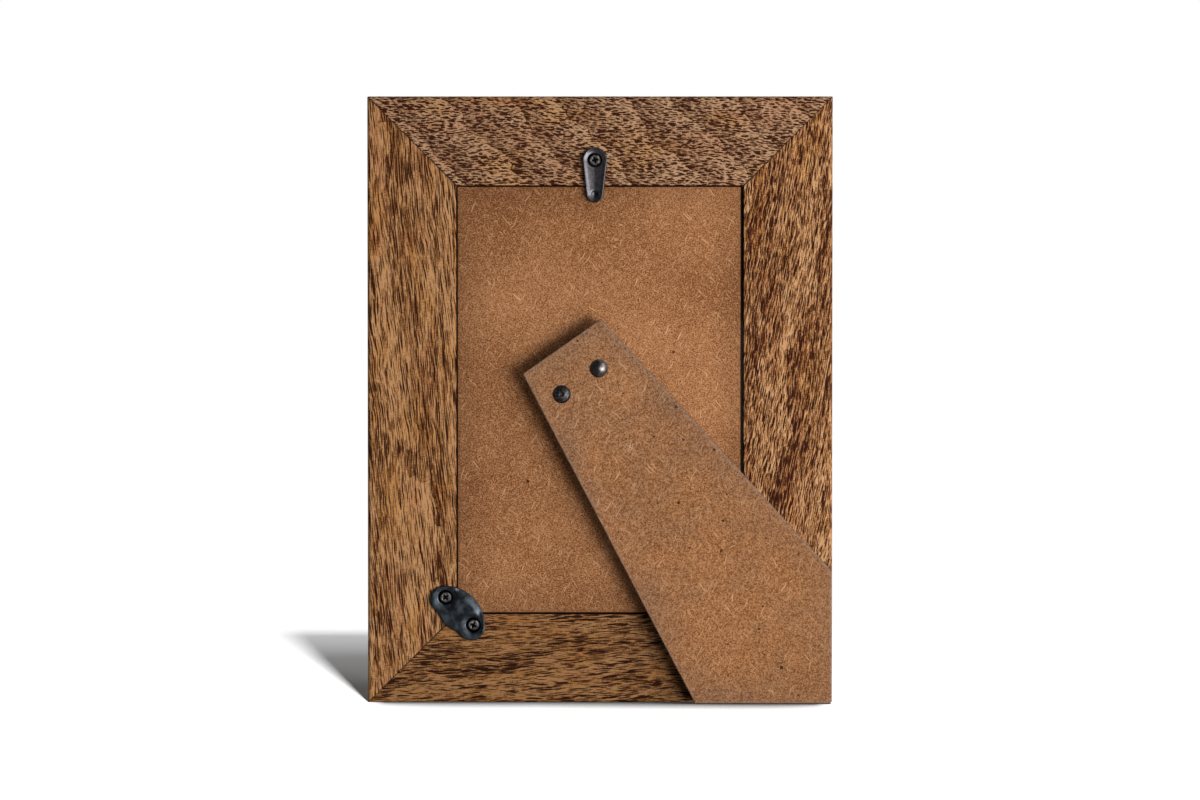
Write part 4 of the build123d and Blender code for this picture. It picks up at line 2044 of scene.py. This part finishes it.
        def lift(flat: Array, tall: Array) -> tuple[Array, Array]:
            """Cross in the head's face, as the deeper of its two bars.

            Args:
                flat: Places in the plane.
                tall: Heights of the rows.

            Returns:
                Changes of height, and the painted shade in the cross and on the head's edge.
            """
            walls = [share * wide for share in self.bar_walls]
            ends = [share * long for share in self.bar_ends]
            bars = [
                (1 - smooth(np.abs(across), *walls)) * (1 - smooth(np.abs(along), *ends))
                for along, across in (flat.T, flat.T[::-1])
            ]
            cross = np.maximum(*bars) * (tall > -self.face_depth)
            # The cross and the edge round the face are darkened as painted shade.
            dark = np.maximum(smooth(cross, *self.cross_dark), smooth(-tall, *self.rim_dark))
            return -deep * cross, dark

        return turned_shape(profile, sectors, lift)

    def build(self) -> None:
        """Build and dress the button, the plates and their screws."""
        plain = BlackSteel(dark=(76, 74, 77), light=(95, 92, 96), gloss=0.34, grain=0.02, seed=14.0)
        skin = plain.material("button_steel")
        low, high = node_box("turn_button")
        right, up = -(low[0] + high[0]) / 2, high[2] - self.head_radius
        shape = seated(self.button(high[1] - low[1]), right, up, low[1])
        shape.piece("turn_button_plate", skin, Body.BUTTON, Slot.STEEL, ["turn_button"])
        blued = BlackSteel(
            dark=(46, 50, 55), light=(82, 89, 97), gloss=0.35, grain=0.015, seed=2.0, patch=2.8
        )
        skin = blued.material("plate_steel")
        for side, turn in (("left", -45), ("right", 45)):
            name = f"corner_plate_{side}"
            middle = (node_middle(f"{name}_screw_outer") + node_middle(f"{name}_screw_inner")) / 2
            back, face = node_box(name)[:, 1]
            shape = seated(self.corner_plate(face - back), -middle[0], middle[2], back, turn)
            shape.piece(f"{name}_plate", skin, Body.FRAME, Slot.STEEL, [name])
        worn = BlackSteel(dark=(98, 96, 94), light=(156, 153, 150), gloss=0.34, grain=0.03, seed=6.0)
        skin = worn.material("screw_steel")
        turns = {
            "turn_button_screw": 12,
            "corner_plate_left_screw_outer": 38,
            "corner_plate_left_screw_inner": 63,
            "corner_plate_right_screw_outer": 21,
            "corner_plate_right_screw_inner": 74,
        }
        for name, turn in turns.items():
            back, face = node_box(name)[:, 1]
            middle = node_middle(name)
            shape = self.screw(face - back)
            shape = seated(shape, -middle[0], middle[2], face - self.screw_sink, turn)
            shape.piece(f"{name}_head", skin, Body.FRAME, Slot.STEEL, [name])


# Studio


@dataclass
class Lamp:
    """Soft lamp that faces the frame.

    Attributes:
        name: Name of the lamp.
        spot: Place in metres.
        size: Width and height of its face in metres.
        power: Power in watts.
        lights: What it lights.
    """

    name: str
    spot: Triple
    size: Pair
    power: float
    lights: Receiver

    def build(self, floor: bpy.types.Object, target: Vector) -> None:
        """Put the lamp in the scene.

        Args:
            floor: Floor that the lamp lights alone, or leaves out.
            target: Point that the lamp faces.
        """
        data = bpy.data.lights.new(self.name, "AREA")
        data.shape = "RECTANGLE"
        data.size, data.size_y = self.size
        data.energy = self.power
        lamp = bpy.data.objects.new(self.name, data)
        lamp.location = self.spot
        lamp.rotation_euler = (target - Vector(self.spot)).to_track_quat("-Z", "Y").to_euler()
        bpy.context.scene.collection.objects.link(lamp)
        group = bpy.data.collections.new(f"{self.name}_receivers")
        group.objects.link(floor)
        lamp.light_linking.receiver_collection = group
        lamp.light_linking.blocker_collection = group if self.lights is Receiver.OBJECT else None
        state = "INCLUDE" if self.lights is Receiver.FLOOR else "EXCLUDE"
        group.collection_objects[0].light_linking.link_state = state
        LOG.info("%s: lights the %s", self.name, self.lights.value)


@dataclass
class Studio:
    """Pale floor, soft light and the camera.

    Attributes:
        distance: Distance from the camera to the frame's back, in metres.
        elevation: Angle of the camera above the level, in degrees.
        field: Width that the picture shows at the frame's back, in metres.
        floor_half: Half the side of the floor, in metres.
        shown_light: Share of the floor's own light, which shows to the camera only.
        near: Distance from the frame at which the floor starts to fade to white, in metres.
        far: Distance at which it is white, in metres.
        ambient: Level of the light from all sides.
        room: Level of the room in front of the frame's back, as steel reflects it.
        contact: Reach of the contact shadow painted on the floor beside the frame, in metres.
        soaked: Share of the floor's light that does not reach the frame.
        beside: Distances from the frame's middle, to either side, between which that painted shadow runs
        out, in millimetres.
        pale: Colours of the floor.
        sweep: Directions, as parts along +Y, between which the room gives way to white.
        sensor: Width of the camera's sensor, in millimetres.
    """

    distance: float = 2.5
    elevation: float = 2.6
    field: float = 0.4299
    floor_half: float = 4.0
    shown_light: float = 0.045
    near: float = 0.32
    far: float = 0.5
    ambient: float = 0.05
    room: float = 0.1
    contact: float = 0.05
    soaked: float = 0.8
    beside: Pair = (76.0, 84.0)
    pale: tuple[Colour, Colour] = ((206, 206, 206), (212, 212, 212))
    sweep: Pair = (0.35, -0.2)
    sensor: float = 36.0

    def floor(self) -> bpy.types.Object:
        """White floor that keeps the shadow near the frame and fades to plain white further off.

        Point (i, j) of its grid lies at equal steps along both sides of a square.

        Returns:
            The floor.
        """
        count = 9
        side = np.linspace(-self.floor_half, self.floor_half, count)
        spots = np.stack(np.meshgrid(side, side, indexing="ij"), axis=2).reshape(-1, 2)
        mesh = bpy.data.meshes.new("studio_floor")
        points = np.column_stack([spots, np.zeros(len(spots))])
        mesh.from_pydata(points.tolist(), [], grid_quads(count, count)[:, ::-1].tolist())
        mesh.update()
        made = bpy.data.objects.new("studio_floor", mesh)
        bpy.context.scene.collection.objects.link(made)
        mesh.materials.append(self.floor_finish())
        return made

    def floor_finish(self) -> bpy.types.Material:
        """Matt white that the lamps light, darkened near the frame by a contact shadow painted from
        ambient occlusion, with a share of plain white that only the camera sees.

        Returns:
            The material.
        """
        g = Graph(bpy.data.materials.new("studio_floor"))
        x, y, z = g.place()
        away = g.math("SQRT", g.plus(g.times(x, x), g.times(y, y)))
        fade = g.step(away, self.near / MM, self.far / MM, self.shown_light, 1.0)
        path = g.put("LightPath", {}).outputs
        seen = g.math("MAXIMUM", path["Is Camera Ray"], path["Is Transmission Ray"])
        tooth = g.noise(g.stretch(g.vector(x, y, z), (0.8, 0.8, 0.8), 2), 2)
        # Contact shadow painted into the floor's colour from ambient occlusion, in front of the frame.
        open_sky = g.put("AmbientOcclusion", {"Distance": self.contact}).outputs["AO"]
        unseen = g.math("MAXIMUM", path["Is Diffuse Ray"], path["Is Glossy Ray"])
        bounce = g.math("MULTIPLY_ADD", unseen, -self.soaked, 1.0)
        beside = g.step(g.math("ABSOLUTE", x), *self.beside, 1.0, 0.0)
        contact_shadow = g.times(beside, g.step(open_sky, 0.4, 0.92, 1.0, 0.0))
        lit = g.times(bounce, g.math("SUBTRACT", 1.0, contact_shadow))
        pale = g.shade(g.blend(tooth, *self.pale), lit)
        white = g.put("BsdfDiffuse", {"Color": pale}).outputs[0]
        plain = g.put("Emission", {"Color": linear(WHITE), "Strength": 1.0}).outputs[0]
        both = g.put("MixShader", {0: g.times(fade, seen), 1: white, 2: plain}).outputs[0]
        g.feed(g.tree.nodes["Material Output"].inputs["Surface"], both)
        return g.owner

    def world(self) -> None:
        """White sweep for the camera, glass, and steel on the picture side; dim room elsewhere."""
        g = Graph(bpy.data.worlds.new("studio_world"))
        bpy.context.scene.world = g.owner
        path = g.put("LightPath", {}).outputs
        spot = g.put("TexCoord", {}).outputs["Generated"]
        toward = g.put("SeparateXYZ", {0: spot}).outputs[1]
        sweep = g.step(toward, *self.sweep, self.room, 1.0)
        feeds = {0: path["Is Glossy Ray"], 2: self.ambient, 3: sweep}
        shiny = g.put("Mix", feeds).outputs[0]
        seen = g.math("MAXIMUM", path["Is Camera Ray"], path["Is Transmission Ray"])
        level = g.put("Mix", {0: seen, 2: shiny, 3: 1.0}).outputs[0]
        back = g.tree.nodes["Background"].inputs
        g.feed(back["Color"], linear(WHITE))
        g.feed(back["Strength"], level)

    def camera(self, target: Vector) -> None:
        """Camera behind the frame, a little above its middle.

        Args:
            target: Point that the camera faces.
        """
        angle = np.radians(self.elevation)
        away = Vector((0.0, float(np.cos(angle)), float(np.sin(angle))))
        data = bpy.data.cameras.new("studio_camera")
        data.sensor_width = self.sensor
        data.lens = self.sensor * self.distance / self.field
        made = bpy.data.objects.new("studio_camera", data)
        made.location = target + self.distance * away
        made.rotation_euler = (-away).to_track_quat("-Z", "Y").to_euler()
        bpy.context.scene.collection.objects.link(made)
        bpy.context.scene.camera = made

    def build(self) -> None:
        """Build floor, lamps, world and camera."""
        bpy.context.scene.view_settings.view_transform = "Standard"
        back = node_box("top_rail")[1, 1] * MM
        target = Vector((0.0, float(back), (cad_box[0][2] + cad_box[1][2]) / 2))
        floor = self.floor()
        lamps = [
            Lamp("key_lamp", (-0.82, 1.02, -0.06), (0.8, 0.5), 17.0, Receiver.OBJECT),
            Lamp("glint_lamp", (-0.95, 0.62, 0.7), (0.5, 0.8), 4.5, Receiver.OBJECT),
            Lamp("front_lamp", (0.35, -1.3, 0.7), (0.9, 0.9), 14.0, Receiver.OBJECT),
            Lamp("floor_lamp", (-0.57, 4.77, 3.6), (0.2, 0.38), 600.0, Receiver.FLOOR),
            Lamp("high_lamp", (-0.505, 4.25, 4.2), (0.2, 1.37), 270.0, Receiver.FLOOR),
            Lamp("roof_lamp", (-0.31, 2.61, 5.39), (0.2, 3.0), 110.0, Receiver.FLOOR),
        ]
        for lamp in lamps:
            lamp.build(floor, target)
        self.world()
        self.camera(target)
        spot = bpy.context.scene.camera.location
        LOG.info("camera at %s", tuple(round(part, 4) for part in spot))


def main() -> None:
    """Build and dress the photo frame, and set up the studio."""
    logging.basicConfig(level=logging.INFO, format="%(name)s: %(message)s")
    WoodenFrame().build()
    Backing().build()
    EaselLeg().build()
    Fastenings().build()
    Studio().build()
    bpy.context.view_layer.update()


if __name__ == "__main__":
    main()
